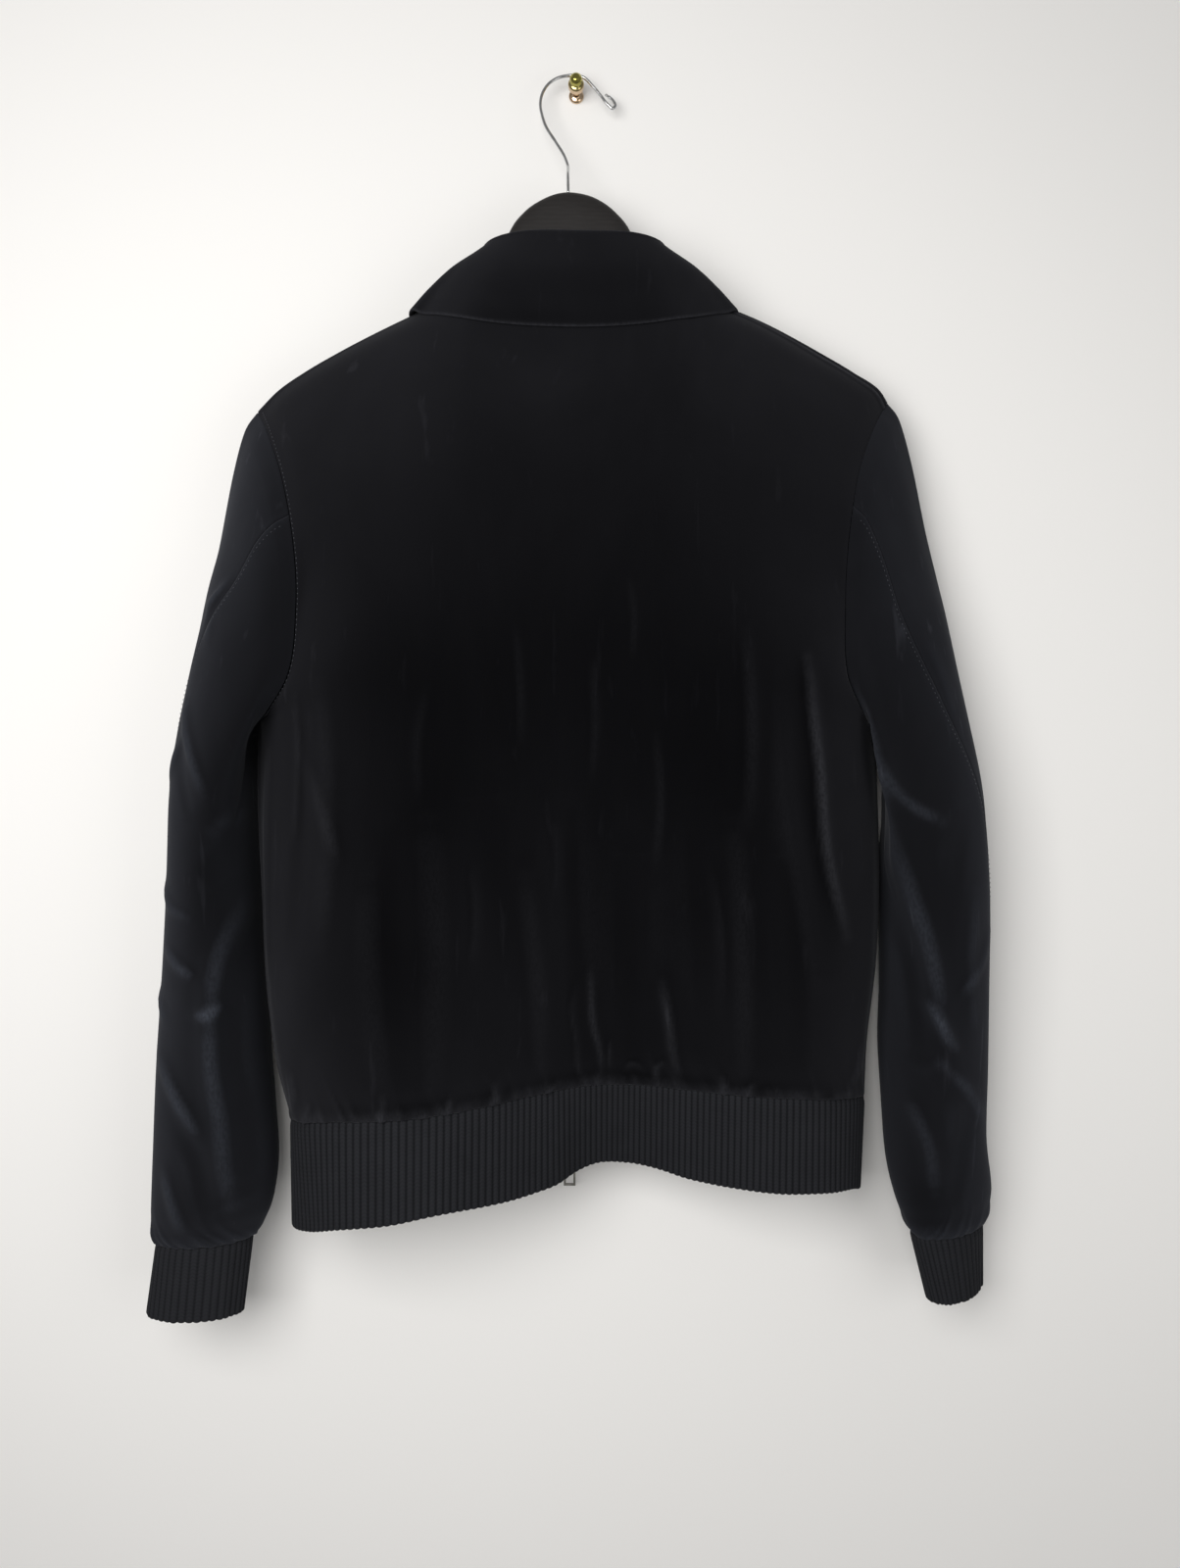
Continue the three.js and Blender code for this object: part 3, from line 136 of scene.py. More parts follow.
# Depth of the panels: y at shares across and up
BACK_ACROSS = [0, 0.05, 0.13, 0.22, 0.33, 0.44, 0.55, 0.66, 0.77, 0.88, 0.95, 1]
BACK_DEPTH = [
    (0.00, (-73, -104, -121, -124, -112, -92, -78, -81, -91, -92, -78, -55)),
    (0.10, (-75, -114, -130, -133, -121, -99, -84, -89, -100, -102, -87, -57)),
    (0.30, (-73, -110, -128, -131, -121, -106, -95, -100, -106, -103, -86, -57)),
    (0.50, (-60, -95, -118, -124, -121, -114, -108, -108, -108, -99, -80, -45)),
    (0.70, (-108, -113, -119, -122, -120, -117, -114, -111, -107, -100, -95, -91)),
    (0.85, (-99, -104, -109, -112, -112, -111, -109, -105, -100, -92, -86, -81)),
    (0.94, (-84, -88, -91, -92, -93, -95, -94, -88, -82, -76, -70, -64)),
    (0.98, (-70, -72, -74, -75, -77, -88, -87, -68, -62, -56, -53, -48)),
    (1.00, (-58, -58, -58, -57, -52, -79, -79, -44, -44, -42, -39, -36)),
]
FRONT_ACROSS = [0, 0.06, 0.15, 0.3, 0.5, 0.7, 0.85, 1]
FRONT_LEFT_DEPTH = [
    (0.00, (-73, -46, -27, -16, -13, -13, -13, -14)),
    (0.10, (-74, -45, -24, -11, -9, -9, -10, -13)),
    (0.30, (-73, -40, -21, -9, -8, -8, -9, -12)),
    (0.50, (-60, -32, -19, -12, -11, -11, -12, -13)),
    (0.70, (-18, -16, -15, -15, -15, -15, -16, -16)),
    (0.85, (-28, -27, -26, -26, -25, -23, -21, -20)),
    (0.94, (-40, -38, -36, -35, -33, -28, -23, -22)),
    (0.98, (-50, -48, -46, -45, -43, -33, -24, -22)),
    (1.00, (-58, -58, -58, -57, -53, -40, -24, -20)),
]
FRONT_RIGHT_DEPTH = [
    (0.00, (-55, -32, -19, -13, -12, -12, -12, -14)),
    (0.10, (-57, -32, -15, -9, -8, -8, -10, -13)),
    (0.30, (-57, -30, -14, -8, -7, -7, -9, -12)),
    (0.50, (-45, -26, -15, -9, -8, -8, -9, -12)),
    (0.70, (-11, -9, -8, -8, -8, -8, -11, -13)),
    (0.85, (-14, -14, -14, -14, -14, -14, -15, -16)),
    (0.94, (-22, -21, -20, -21, -23, -21, -20, -19)),
    (0.98, (-28, -28, -29, -31, -33, -28, -21, -19)),
    (1.00, (-36, -38, -42, -44, -44, -33, -21, -18)),
]
FADE_BOTTOM = 1
FADE_TOP = 5
FADE_BACK_SIDE = 7
FADE_FRONT_SIDE = 4
CROWN = 75

# Sleeve rings from armhole to cuff: outer x z, inner x z, middle y, half depth, twist, turn
SLEEVE_LEFT = [
    (-233, -261, -232, -487, -61, 45, 0, 0), (-243, -276, -237, -496, -61, 48, -3, 0),
    (-253, -305, -238, -508, -61, 51, -9, 0), (-264, -348, -237, -526, -61, 53, -16, 0),
    (-275, -385, -236, -548, -61, 54, -24, 0), (-280, -420, -235, -568, -61, 54, -32, 0),
    (-284, -458, -234, -590, -61, 54, -42, 0), (-288, -498, -232.5, -613, -60, 53, -53, 0),
    (-291, -540, -231, -637, -60, 52, -65, 0), (-293, -580, -230, -664, -59, 51, -76, 0),
    (-295, -625, -228, -694, -58, 50, -85, 0), (-297.5, -677, -226, -728, -58, 48, -92, 0),
    (-302, -740, -222.5, -768, -58, 44, -96, 0), (-304.5, -795, -219.5, -808, -59, 39, -98, 0),
    (-306, -842, -224, -842, -61, 33, -98, 0), (-305, -866, -235, -862, -62, 22, -98, 0),
]
SLEEVE_RIGHT = [
    (234.4, -247.5, 222.5, -494, -48, 41, 0, 0), (243, -262, 228, -501, -48, 43, 0, 0),
    (252, -296, 230, -512, -48, 44, 0, 0), (262, -347, 230, -530, -48, 45, 0, 0),
    (270, -383, 230, -550, -48, 45, -1, 0), (278, -418, 230, -571, -48, 45, -3, 0),
    (285, -456, 229, -592, -48, 45, -8, 0), (292, -497, 228, -615, -48, 45, -16, 2),
    (298, -537, 228, -638, -48, 44, -24, 4), (301, -580, 228, -664, -48, 44, -33, 6),
    (302.5, -625, 228, -694, -47, 43, -46, 9), (302.5, -677, 227, -728, -46, 41, -60, 13),
    (303, -740, 229, -768, -45, 37, -76, 20), (304, -795, 231, -808, -44, 33, -84, 28),
    (315, -838, 233, -840, -43, 27, -88, 38), (315, -862, 238, -862, -43, 21, -88, 44),
]
ARMHOLE_FADE = 0.55
UNDER_FRONT_FADE = 0.85
# Half the upper panel's share of the armhole ring, in degrees from the shoulder tip
UPPER_HALF = 64.8
# Lower rings of the cuffs: centre, half width, half depth, turn
CUFF_LEFT = ((-276.5, -63, -918), 34.5, 20, -4)
CUFF_RIGHT = ((282, -43, -911), 32, 17, 50)

# Zip
TAPE_WALL = 1
TAPE_UNDER = 6.5
TAPE_OUT = 5.5
TAPE_FOOT = -824
TAPE_BAND_Y = -16.7
TAPE_BAND_TOP = -760
TAPE_BEHIND = 2.4
TAPE_FIRST = 0.06
TAPE_LAST = 0.96
TOOTH_PITCH = 2.5

# Hanger: x, top z, underside z, half thickness
HANGER_ROWS = [
    (-216, -257, -264, 3.5), (-211, -250, -270, 5.5), (-190, -236.5, -259, 6), (-160, -219, -243, 6.2),
    (-125, -203, -226, 6.4), (-95, -191.5, -211, 6), (-80, -184.5, -202, 6.2), (-67, -173, -192, 7),
    (-58, -156, -182, 7), (-53, -137, -176, 7), (-47, -123, -172, 7), (-38, -111.5, -168, 7),
    (-25, -102, -165, 7), (-11, -96.6, -164, 7), (3, -96.6, -164, 7), (17, -101, -165, 7),
    (30, -110.5, -168, 7), (40, -123, -172, 7), (46, -137, -176, 7), (52, -152, -180, 7),
    (60, -168, -189, 7), (75, -178, -198, 6.8), (95, -187, -209, 6.6), (125, -199, -222, 6.4),
    (160, -213, -238, 6.2), (190, -228, -252, 6), (212, -242, -263, 5.5), (218, -249, -256, 3.5),
]
HANGER_Y = -48
HANGER_LEAN = 0.045
HANGER_SQUARE = 2.8
WIRE = 1.2
HOOK = [(-5.4, -48.2, -99.6), (-5.8, -42, -83), (-6.3, -34.5, -71.1), (-8.3, -32.5, -64.7),
        (-15.3, -28.5, -51.1), (-22.7, -25, -37.7), (-26, -21.5, -26.5), (-27.3, -19.5, -18.3),
        (-26.2, -17.5, -8.7), (-21.5, -16, 0), (-14.6, -15.2, 5.2), (-6, -15, 7.4), (0, -15, 7.6),
        (6, -15, 5.8), (12.7, -15, -0.6), (18.9, -15, -8), (25.1, -15, -15.7), (27.9, -14.7, -17.7),
        (30.2, -13.9, -15.4), (28.6, -12.8, -10.8), (22.8, -12, -5.5)]
PEG = [(5.8, 0), (5.8, 1.2), (4.6, 2.2), (2.6, 3), (2.6, 10.6), (5, 11.6), (6.1, 12.8),
       (6.1, 17), (5, 18), (3.4, 18.7), (4.6, 20), (5, 22), (4.4, 24.4), (2.6, 26.2)]
PEG_SOFTEN = 6
# Depths in metres between which the peg's colour goes from olive to rosy
ROSY_FROM_TO = (-0.019, -0.016)

# Creases of the back: path in x and z, height (below 0 a trough), width
BACK_FOLDS = [
    # fine tucks that rise from the hem seam
    (((10.7, -665), (12.7, -704), (18, -726), (18, -744)), 1.7, 2.2),
    (((0.5, -674), (-2.3, -690), (1, -716), (2.5, -745)), 1.0, 1.9),
    (((24, -716), (24.5, -726), (24, -738)), 1.0, 1.6),
    (((62, -674), (67, -704), (70.5, -729), (76, -746)), 1.9, 3.6),
    (((58, -742), (59, -735), (64, -730)), 1.5, 2.2),
    (((35, -738), (41, -733), (49, -737)), 0.7, 2.0),
    (((-28, -759), (-20, -751), (-14, -746)), 1.9, 2.2),
    (((-22, -762), (-12, -755), (-2, -752)), 1.4, 2.2),
    (((-134, -770), (-130, -758), (-128, -744)), 1.4, 2.6),
    (((-110, -768), (-104, -760), (-99, -757)), 1.7, 2.4),
    (((-86, -766), (-86, -757), (-85, -746)), 1.8, 2.2),
    (((-60, -762), (-56, -752), (-54, -738)), 1.2, 3),
    (((-198, -764), (-194, -752), (-196, -732)), 2.2, 4),
    (((-186, -772), (-184, -762), (-180, -752)), 1.5, 3),
    (((104, -756), (106, -748), (104, -738)), 1.3, 2.4),
    (((122, -758), (122, -751), (126, -742)), 1.2, 2.2),
    (((150, -760), (172, -757), (198, -752)), 1.2, 3),
    (((196, -750), (202, -736), (206, -716)), 2.0, 4),
    # long soft folds of the lower half
    (((-8, -560), (-4, -640), (6, -735)), -1.6, 9),
    (((40, -580), (40, -660), (42, -735)), -1.5, 13),
    (((-34, -600), (-26, -680), (-24, -745)), 1.2, 8),
    (((-62, -540), (-60, -640), (-56, -740)), -1.1, 15),
    (((-98, -560), (-92, -650), (-96, -750)), 1.3, 12),
    (((-142, -600), (-136, -680), (-128, -756)), 1.2, 14),
    (((-120, -575), (-118, -660), (-112, -745)), -1.1, 11),
    (((-172, -470), (-166, -560), (-168, -640)), 1.2, 9),
    (((-188, -480), (-186, -560), (-190, -650)), -1.3, 8),
    (((86, -540), (92, -620), (98, -745)), -1.2, 12),
    (((112, -560), (116, -640), (120, -748)), 1.2, 9),
    (((142, -580), (150, -660), (152, -748)), -1.2, 11),
    (((160, -448), (166, -490), (170, -520), (176, -585), (190, -640)), 3.6, 5),
    (((150, -470), (156, -540), (166, -600), (176, -660)), -2.0, 9),
    (((118, -430), (122, -500), (120, -560)), 0.9, 6),
    (((-216, -492), (-217, -580), (-216, -668)), 1.8, 3.4),
    (((-191, -474), (-190, -520), (-191, -572)), 1.3, 3),
    # narrow brushed ridges of the middle
    (((-40, -430), (-37, -470), (-37, -505)), 0.45, 3.2),
    (((12, -452), (14, -490), (12, -530)), 0.4, 3),
    (((56, -500), (60, -540), (57, -590)), 0.5, 3.2),
    (((-100, -470), (-106, -510), (-104, -545)), 0.4, 4),
    (((-190, -500), (-178, -535), (-158, -585)), 1.1, 5),
    (((38, -395), (41, -420), (40, -446)), 0.4, 2.6),
    (((96, -590), (102, -640), (104, -690)), 0.7, 3.4),
    (((-70, -590), (-67, -625), (-70, -660)), 0.6, 3.4),
    (((-14, -560), (-12, -590), (-13, -612)), 0.5, 2.6),
]
FRONT_FOLDS = [
    (((-150, -350), (-120, -470), (-110, -600)), 1.6, 26),
    (((-60, -420), (-66, -560), (-60, -700)), -1.8, 24),
    (((-190, -510), (-150, -560), (-110, -590)), 2.2, 15),
    (((-170, -660), (-150, -710), (-140, -750)), 2.4, 12),
    (((-90, -670), (-84, -715), (-80, -748)), 2.0, 10),
    (((60, -400), (70, -540), (66, -690)), -1.8, 24),
    (((150, -340), (118, -470), (112, -600)), 1.6, 26),
    (((186, -515), (150, -560), (112, -596)), 2.2, 15),
    (((176, -660), (158, -705), (150, -748)), 2.4, 12),
    (((96, -676), (90, -715), (88, -748)), 2.0, 10),
]
# Creases of the sleeves on the side seen from the back and on the side to the wall
SLEEVE_LEFT_FOLDS = [
    (((-214, -612), (-234, -660), (-240, -725), (-234, -770), (-232, -815)), -4.2, 8),
    (((-224, -600), (-246, -650), (-252, -725), (-247, -780), (-243, -830)), 4.4, 8),
    (((-240, -392), (-250, -402), (-262, -409)), 2.2, 4.5),
    (((-250, -402), (-256, -416), (-255, -434)), 1.8, 4),
    (((-272, -476), (-268, -496), (-261, -518), (-253, -542)), 2.6, 4.5),
    (((-288, -532), (-280, -514), (-272, -500)), 1.8, 4),
    (((-277, -500), (-271, -530), (-264, -556)), -1.4, 5),
    (((-294, -603), (-282, -620), (-267, -627)), 1.7, 4),
    (((-286, -648), (-275, -660), (-262, -668)), 2.4, 4.5),
    (((-263, -694), (-254, -693), (-243, -687)), 2.4, 4.5),
    (((-300, -680), (-294, -690), (-286, -701)), 1.6, 4),
    (((-292, -726), (-278, -752), (-262, -781)), 3.0, 5.5),
    (((-289, -806), (-283, -828), (-276, -851)), 2.4, 5),
    (((-272, -770), (-262, -800), (-256, -836)), -1.8, 8),
    (((-212, -520), (-228, -548), (-246, -566)), 2.2, 6),
    (((-216, -545), (-236, -580), (-258, -600)), -1.2, 8),
]
SLEEVE_RIGHT_FOLDS = [
    (((176, -468), (204, -520), (208, -556), (224, -604), (244, -684), (247, -726)), -3.8, 7),
    (((188, -468), (216, -520), (222, -556), (238, -604), (257, -680), (262, -730)), 3.8, 7.5),
    (((184, -462), (192, -492), (214, -518)), 2.2, 3.4),
    (((246, -684), (258, -702), (272, -726)), 2.6, 4.5),
    (((250, -430), (262, -460), (270, -496)), 0.7, 5),
    (((272, -560), (266, -600), (262, -640)), -1.2, 8),
    (((284, -610), (280, -660), (284, -710)), 1.6, 6),
    (((240, -760), (252, -790), (258, -826)), 2.4, 6),
    (((282, -760), (276, -800), (272, -838)), -1.6, 8),
    (((216, -520), (236, -548), (256, -560)), 2.0, 5),
    (((264, -735), (280, -752), (294, -778)), 2.2, 5),
    (((298, -640), (288, -664), (270, -684)), 1.4, 4),
]
SLEEVE_WALL_FOLDS = [
    (((-214, -560), (-240, -610), (-262, -640)), 3.0, 12),
    (((-288, -560), (-262, -600), (-240, -640)), 2.6, 12),
    (((-250, -680), (-262, -730), (-270, -780)), -2.8, 12),
    (((-236, -760), (-250, -800), (-262, -836)), 2.6, 10),
    (((214, -560), (240, -610), (266, -640)), 3.0, 12),
    (((292, -570), (264, -610), (246, -650)), 2.6, 12),
    (((250, -690), (264, -740), (274, -780)), -2.8, 12),
    (((246, -770), (256, -800), (268, -836)), 2.6, 10),
]


def camera():
    """The photograph's view: level, square to the wall."""
    data = bpy.data.cameras.new("camera")
    data.lens = LENS_MM
    data.sensor_width = SENSOR_MM
    data.sensor_fit = "AUTO"
    made = bpy.data.objects.new("camera", data)
    made.location = CAMERA_PLACE
    made.rotation_euler = (math.pi / 2, 0, 0)
    bpy.context.scene.collection.objects.link(made)
    bpy.context.scene.camera = made


camera()


# ---- curves and surfaces
def smooth(t):
    """Soft step: 3t^2 - 2t^3 of t held between 0 and 1."""
    t = np.clip(t, 0, 1)
    return t * t * (3 - 2 * t)


def mix(a, b, t):
    """Straight blend of two values or point arrays."""
    return a + (b - a) * t


def unit(v):
    """Vectors scaled to length 1."""
    return v / np.maximum(np.linalg.norm(v, axis=-1, keepdims=True), 1e-9)


def through(stations, rows, t):
    """Smooth curve through rows at uneven stations: a cubic piece between two knots, whose slope
    at a knot is the mean of the chords beside it, each weighted by the other's span."""
    s, r, t = np.asarray(stations, float), np.asarray(rows, float), np.asarray(t, float)
    span = np.diff(s)[:, None]
    chord = np.diff(r, axis=0) / span
    slope = np.empty_like(r)
    slope[0], slope[-1] = chord[0], chord[-1]
    slope[1:-1] = (chord[:-1] * span[1:] + chord[1:] * span[:-1]) / (span[1:] + span[:-1])
    k = np.clip(np.searchsorted(s, t, side="left") - 1, 0, len(s) - 2)
    w = (s[k + 1] - s[k])[..., None]
    f = ((t - s[k]) / (s[k + 1] - s[k]))[..., None]
    return ((1 + 2 * f) * (1 - f) ** 2 * r[k] + f * (1 - f) ** 2 * w * slope[k]
            + f * f * (3 - 2 * f) * r[k + 1] + f * f * (f - 1) * w * slope[k + 1])


def chords(points):
    """Running chord length at each point."""
    step = np.linalg.norm(np.diff(np.asarray(points, float), axis=0), axis=1)
    return np.concatenate([[0], np.cumsum(step)])


def curve(points):
    """Curve through points, read by its share of the chord length."""
    stations = chords(points)
    return lambda t: through(stations, points, np.asarray(t) * stations[-1])


def neck_rows():
    """Both halves of the neckline and collar lines, mirrored, then turned about the upright
    line through the neck and tilted."""
    whole = [(at, 1, *lines) for at, *lines in COLLAR_ROWS]
    whole += [(1 - at, -1, *lines) for at, *lines in COLLAR_ROWS[-2::-1]]
    angle = math.radians(NECK_TURN)
    rotation = np.array([[math.cos(angle), -math.sin(angle)], [math.sin(angle), math.cos(angle)]])
    stations = [row[0] for row in whole]
    flips = np.array([[row[1], 1] for row in whole])
    found = []
    for key in (2, 3, 4):
        p = np.array([row[key] for row in whole], float)
        flat = p[:, :2] * flips
        found.append(np.column_stack([
            (flat - NECK_PIVOT) @ rotation.T + NECK_PIVOT, p[:, 2] + flat[:, 0] * NECK_TILT]))
    out = np.array([row[5] for row in whole], float) * flips @ rotation.T
    return stations, found, np.column_stack([out, np.zeros(len(whole))])


NECK_AT, (SEAM_ROWS, ROLL_ROWS, LEAF_ROWS), OUT_ROWS = neck_rows()


def neck_seam(t):
    """Neckline seam, 0 at the left front and 1 at the right."""
    return through(NECK_AT, SEAM_ROWS, t)


def neck_out(t):
    """Level way out of the neck along the neckline."""
    return unit(through(NECK_AT, OUT_ROWS, t))


shoulder_left = curve(SHOULDER_LEFT + [tuple(neck_seam(NECK_POINT))])
shoulder_right = curve(SHOULDER_RIGHT + [tuple(neck_seam(1 - NECK_POINT))])
centre_left = curve(CENTRE_LEFT + [tuple(neck_seam(0.0))])
centre_right = curve(CENTRE_RIGHT + [tuple(neck_seam(1.0))])


def side_edge(side, armhole):
    """Side seam up to the underarm, then that half of the armhole."""
    low, high = curve(side), curve(armhole)
    return lambda v: np.where((v <= UNDERARM)[..., None], low(np.minimum(v / UNDERARM, 1)),
                              high(np.clip((v - UNDERARM) / (1 - UNDERARM), 0, 1)))


def back_top(u):
    """Left shoulder, back neckline, right shoulder."""
    middle = neck_seam(mix(NECK_POINT, 1 - NECK_POINT,
                           np.clip((u - BACK_SHOULDER) / (1 - 2 * BACK_SHOULDER), 0, 1)))
    left = shoulder_left(np.clip(u / BACK_SHOULDER, 0, 1))
    right = shoulder_right(np.clip((1 - u) / BACK_SHOULDER, 0, 1))
    high = np.where((u <= BACK_SHOULDER)[..., None], left, middle)
    return np.where((u >= 1 - BACK_SHOULDER)[..., None], right, high)


def front_top(shoulder, neck_from, neck_to):
    """A shoulder, then the front neckline down to the centre."""
    def line(u):
        neck = neck_seam(mix(neck_from, neck_to,
                             np.clip((u - FRONT_SHOULDER) / (1 - FRONT_SHOULDER), 0, 1)))
        return np.where((u <= FRONT_SHOULDER)[..., None],
                        shoulder(np.clip(u / FRONT_SHOULDER, 0, 1)), neck)
    return line


def panel(bottom, top, near, far, across, depth, fade):
    """Cloth panel on u (across) and v (up): an even patch between the four corners with a soft
    crown and the depth table, bent to its bottom and top edges, then to its two sides. Each bend
    dies away from its edge by a power of the distance."""
    ups = [row[0] for row in depth]
    table = np.array([row[1] for row in depth], float)
    a, b, c, d = (edge(np.array(x)) for edge in (bottom, top) for x in (0.0, 1.0))

    def patch(u, v):
        low = mix(a, b, u[..., None])
        high = mix(c, d, u[..., None])
        p = mix(low, high, v[..., None])
        p[..., 1] = np.einsum("...r,rc,...c->...", through(ups, np.eye(len(ups)), v), table,
                              through(across, np.eye(len(across)), u))
        p[..., 2] += CROWN * 4 * u * (1 - u) * v * v
        return p

    def raised(u, v):
        zero, one = np.zeros_like(u), np.ones_like(u)
        return (patch(u, v) + (bottom(u) - patch(u, zero)) * ((1 - v) ** FADE_BOTTOM)[..., None]
                + (top(u) - patch(u, one)) * (v ** FADE_TOP)[..., None])

    def surface(u, v):
        zero, one = np.zeros_like(u), np.ones_like(u)
        return (raised(u, v) + (near(v) - raised(zero, v)) * ((1 - u) ** fade)[..., None]
                + (far(v) - raised(one, v)) * (u ** fade)[..., None])
    return surface


back_surface = panel(
    curve(HEM_BACK), back_top, side_edge(SIDE_LEFT, ARMHOLE_BACK_LEFT),
    side_edge(SIDE_RIGHT, ARMHOLE_BACK_RIGHT), BACK_ACROSS, BACK_DEPTH, FADE_BACK_SIDE)
front_left_surface = panel(
    curve(HEM_FRONT_LEFT), front_top(shoulder_left, NECK_POINT, 0),
    side_edge(SIDE_LEFT, ARMHOLE_FRONT_LEFT), centre_left, FRONT_ACROSS, FRONT_LEFT_DEPTH,
    FADE_FRONT_SIDE)
front_right_surface = panel(
    curve(HEM_FRONT_RIGHT), front_top(shoulder_right, 1 - NECK_POINT, 1),
    side_edge(SIDE_RIGHT, ARMHOLE_FRONT_RIGHT), centre_right, FRONT_ACROSS, FRONT_RIGHT_DEPTH,
    FADE_FRONT_SIDE)


def ring_point(back, front):
    """Armhole point at an angle: 0 the shoulder tip, 180 the underarm, the back half first."""
    low, high = curve(back), curve(front)
    return lambda a: np.where((a % 360 <= 180)[..., None], low(1 - np.clip(a % 360 / 180, 0, 1)),
                              high(np.clip((a % 360 - 180) / 180, 0, 1)))


def sleeve(rows, ring, side):
    """Sleeve on an angle and a share of the way down. Each ring is an ellipse between its outer
    and inner point, turned and twisted; near the armhole the armhole's own shape is added and
    fades out, soonest under the arm at the front."""
    table = np.array(rows, float)
    stations = np.linspace(0, 1, len(rows))

    def oval(s, angle):
        ox, oz, ix, iz, y, deep, _, turn = np.moveaxis(through(stations, table, s), -1, 0)
        centre = np.stack([(ox + ix) / 2, y, (oz + iz) / 2], -1)
        c, r = np.cos(np.radians(turn)), np.sin(np.radians(turn)) * side
        wide = np.stack([(ox - ix) / 2 * c, (ox - ix) / 2 * r, (oz - iz) / 2], -1)
        thick = np.stack([deep * r, -deep * c, 0 * r], -1)
        cos, sin = np.cos(np.radians(angle))[..., None], np.sin(np.radians(angle))[..., None]
        width = np.linalg.norm(wide, axis=-1, keepdims=True)
        return (centre + wide * cos + thick * sin,
                unit(unit(wide) * cos / width + unit(thick) * sin / deep[..., None]))

    def surface(angle, s):
        twist = through(stations, table, s)[..., 6]
        point, out = oval(s, angle + twist)
        start, _ = oval(np.zeros_like(s), angle)
        part = angle % 360
        under = np.where(part > 180, np.sqrt(np.maximum(0, -np.cos(np.radians(part)))), 0)
        stay = 1 - smooth(s / (ARMHOLE_FADE * (1 - UNDER_FRONT_FADE * under)))
        proud = VELVET * np.clip(s * 15, 0, 1) * np.clip((1 - s) * 15, 0, 1)
        moved = point + (ring(angle) - start) * stay[..., None] + out * proud[..., None]
        moved[..., 0] += side * SEAM_STEP
        return moved
    return surface, oval


ring_left = ring_point(ARMHOLE_BACK_LEFT, ARMHOLE_FRONT_LEFT)
ring_right = ring_point(ARMHOLE_BACK_RIGHT, ARMHOLE_FRONT_RIGHT)
left_sleeve, left_oval = sleeve(SLEEVE_LEFT, ring_left, -1)
right_sleeve, right_oval = sleeve(SLEEVE_RIGHT, ring_right, 1)


# ---- shaping: everything here moves points along their normals
def grid_normals(p, toward=None):
    """Unit normals of a grid from its central differences; toward picks the side."""
    n = unit(np.cross(np.gradient(p, axis=0), np.gradient(p, axis=1)))
    if toward is not None and (n * toward).sum() < 0:
        n = -n
    return n


def run(p, axis):
    """Running length along one axis of a grid."""
    step = np.linalg.norm(np.diff(p, axis=axis), axis=-1)
    return np.concatenate([np.zeros_like(np.take(step, [0], axis)), np.cumsum(step, axis)], axis)


def path_distance(x, z, path):
    """Distance of points to a path in the X-Z plane, and how far along it, from 0 to 1."""
    path = np.asarray(path, float)
    lengths = np.linalg.norm(np.diff(path, axis=0), axis=1)
    starts = np.concatenate([[0], np.cumsum(lengths)])
    best, along = np.full(x.shape, 1e9), np.zeros(x.shape)
    for k, (a, b) in enumerate(zip(path[:-1], path[1:])):
        d = b - a
        t = np.clip(((x - a[0]) * d[0] + (z - a[1]) * d[1]) / (d @ d), 0, 1)
        gap = np.hypot(x - a[0] - t * d[0], z - a[1] - t * d[1])
        along = np.where(gap < best, (starts[k] + t * lengths[k]) / starts[-1], along)
        best = np.minimum(best, gap)
    return best, along


def folds(p, n, table, facing):
    """Soft ridges and troughs along paths: a bell across each path, thinning at both ends, on
    the side of the cloth that faces the given way along Y."""
    rise = np.zeros(p.shape[:-1])
    lit = smooth(facing * n[..., 1] * 2.2 + 0.25)
    for path, height, width in table:
        gap, along = path_distance(p[..., 0], p[..., 2], smooth_path(path))
        thin = np.sqrt(np.clip(np.sin(np.pi * np.clip(along, 0.02, 0.98)), 0, 1))
        rise += height * np.exp(-(gap / width) ** 2) * thin * lit
    return rise


def smooth_path(path):
    """A path's corners rounded by a curve through them."""
    flat = [(x, z, 0.0) for x, z in path]
    return curve(flat)(np.linspace(0, 1, 4 * len(path)))[:, :2]


def gathers(along, up, length, seed, height=1.6, reach=26, gap=(5, 15)):
    """Uneven tucks along a gathered seam: bells at seeded places, each with its own width,
    height and reach away from the seam."""
    rng = np.random.default_rng(seed)
    rise = np.zeros(along.shape)
    place = rng.uniform(1, gap[1])
    while place < length:
        width = rng.uniform(1.6, 3.6)
        tall = height * rng.uniform(0.35, 1.25)
        far = reach * rng.uniform(0.35, 1.6)
        lean = rng.uniform(-0.15, 0.15)
        near = np.abs(along - place - lean * up) < 4 * width
        bell = np.exp(-(((along - place - lean * up) / width) ** 2))
        rise += np.where(near, tall * bell * np.exp(-((up / far) ** 1.5)), 0)
        place += rng.uniform(*gap)
    return rise


def dip(distance, depth, width):
    """Hollow along a seam."""
    return -depth * np.exp(-((distance / width) ** 2))


def drift(p, scale, seed):
    """Gentle unevenness of hanging cloth: a sum of seeded slow waves over X, Y and Z."""
    rng = np.random.default_rng(seed)
    rise = np.zeros(p.shape[:-1])
    for _ in range(7):
        way = rng.normal(size=3) * [1.0, 1.0, 0.45]
        rise += np.sin(p @ (way / scale) + rng.uniform(0, 6.28))
    return rise / 7


def crests(rise):
    """How far narrow ridges stand over the cloth beside them, 0 to 1: the rise less its own mean
    over a few cells, by CREST_HEIGHT."""
    soft = rise.copy()
    for _ in range(CREST_ROUNDS):
        soft[1:-1, 1:-1] = (soft[:-2, 1:-1] + soft[2:, 1:-1] + soft[1:-1, :-2] + soft[1:-1, 2:]) / 4
    return np.clip((rise - soft) / CREST_HEIGHT, 0, 1)


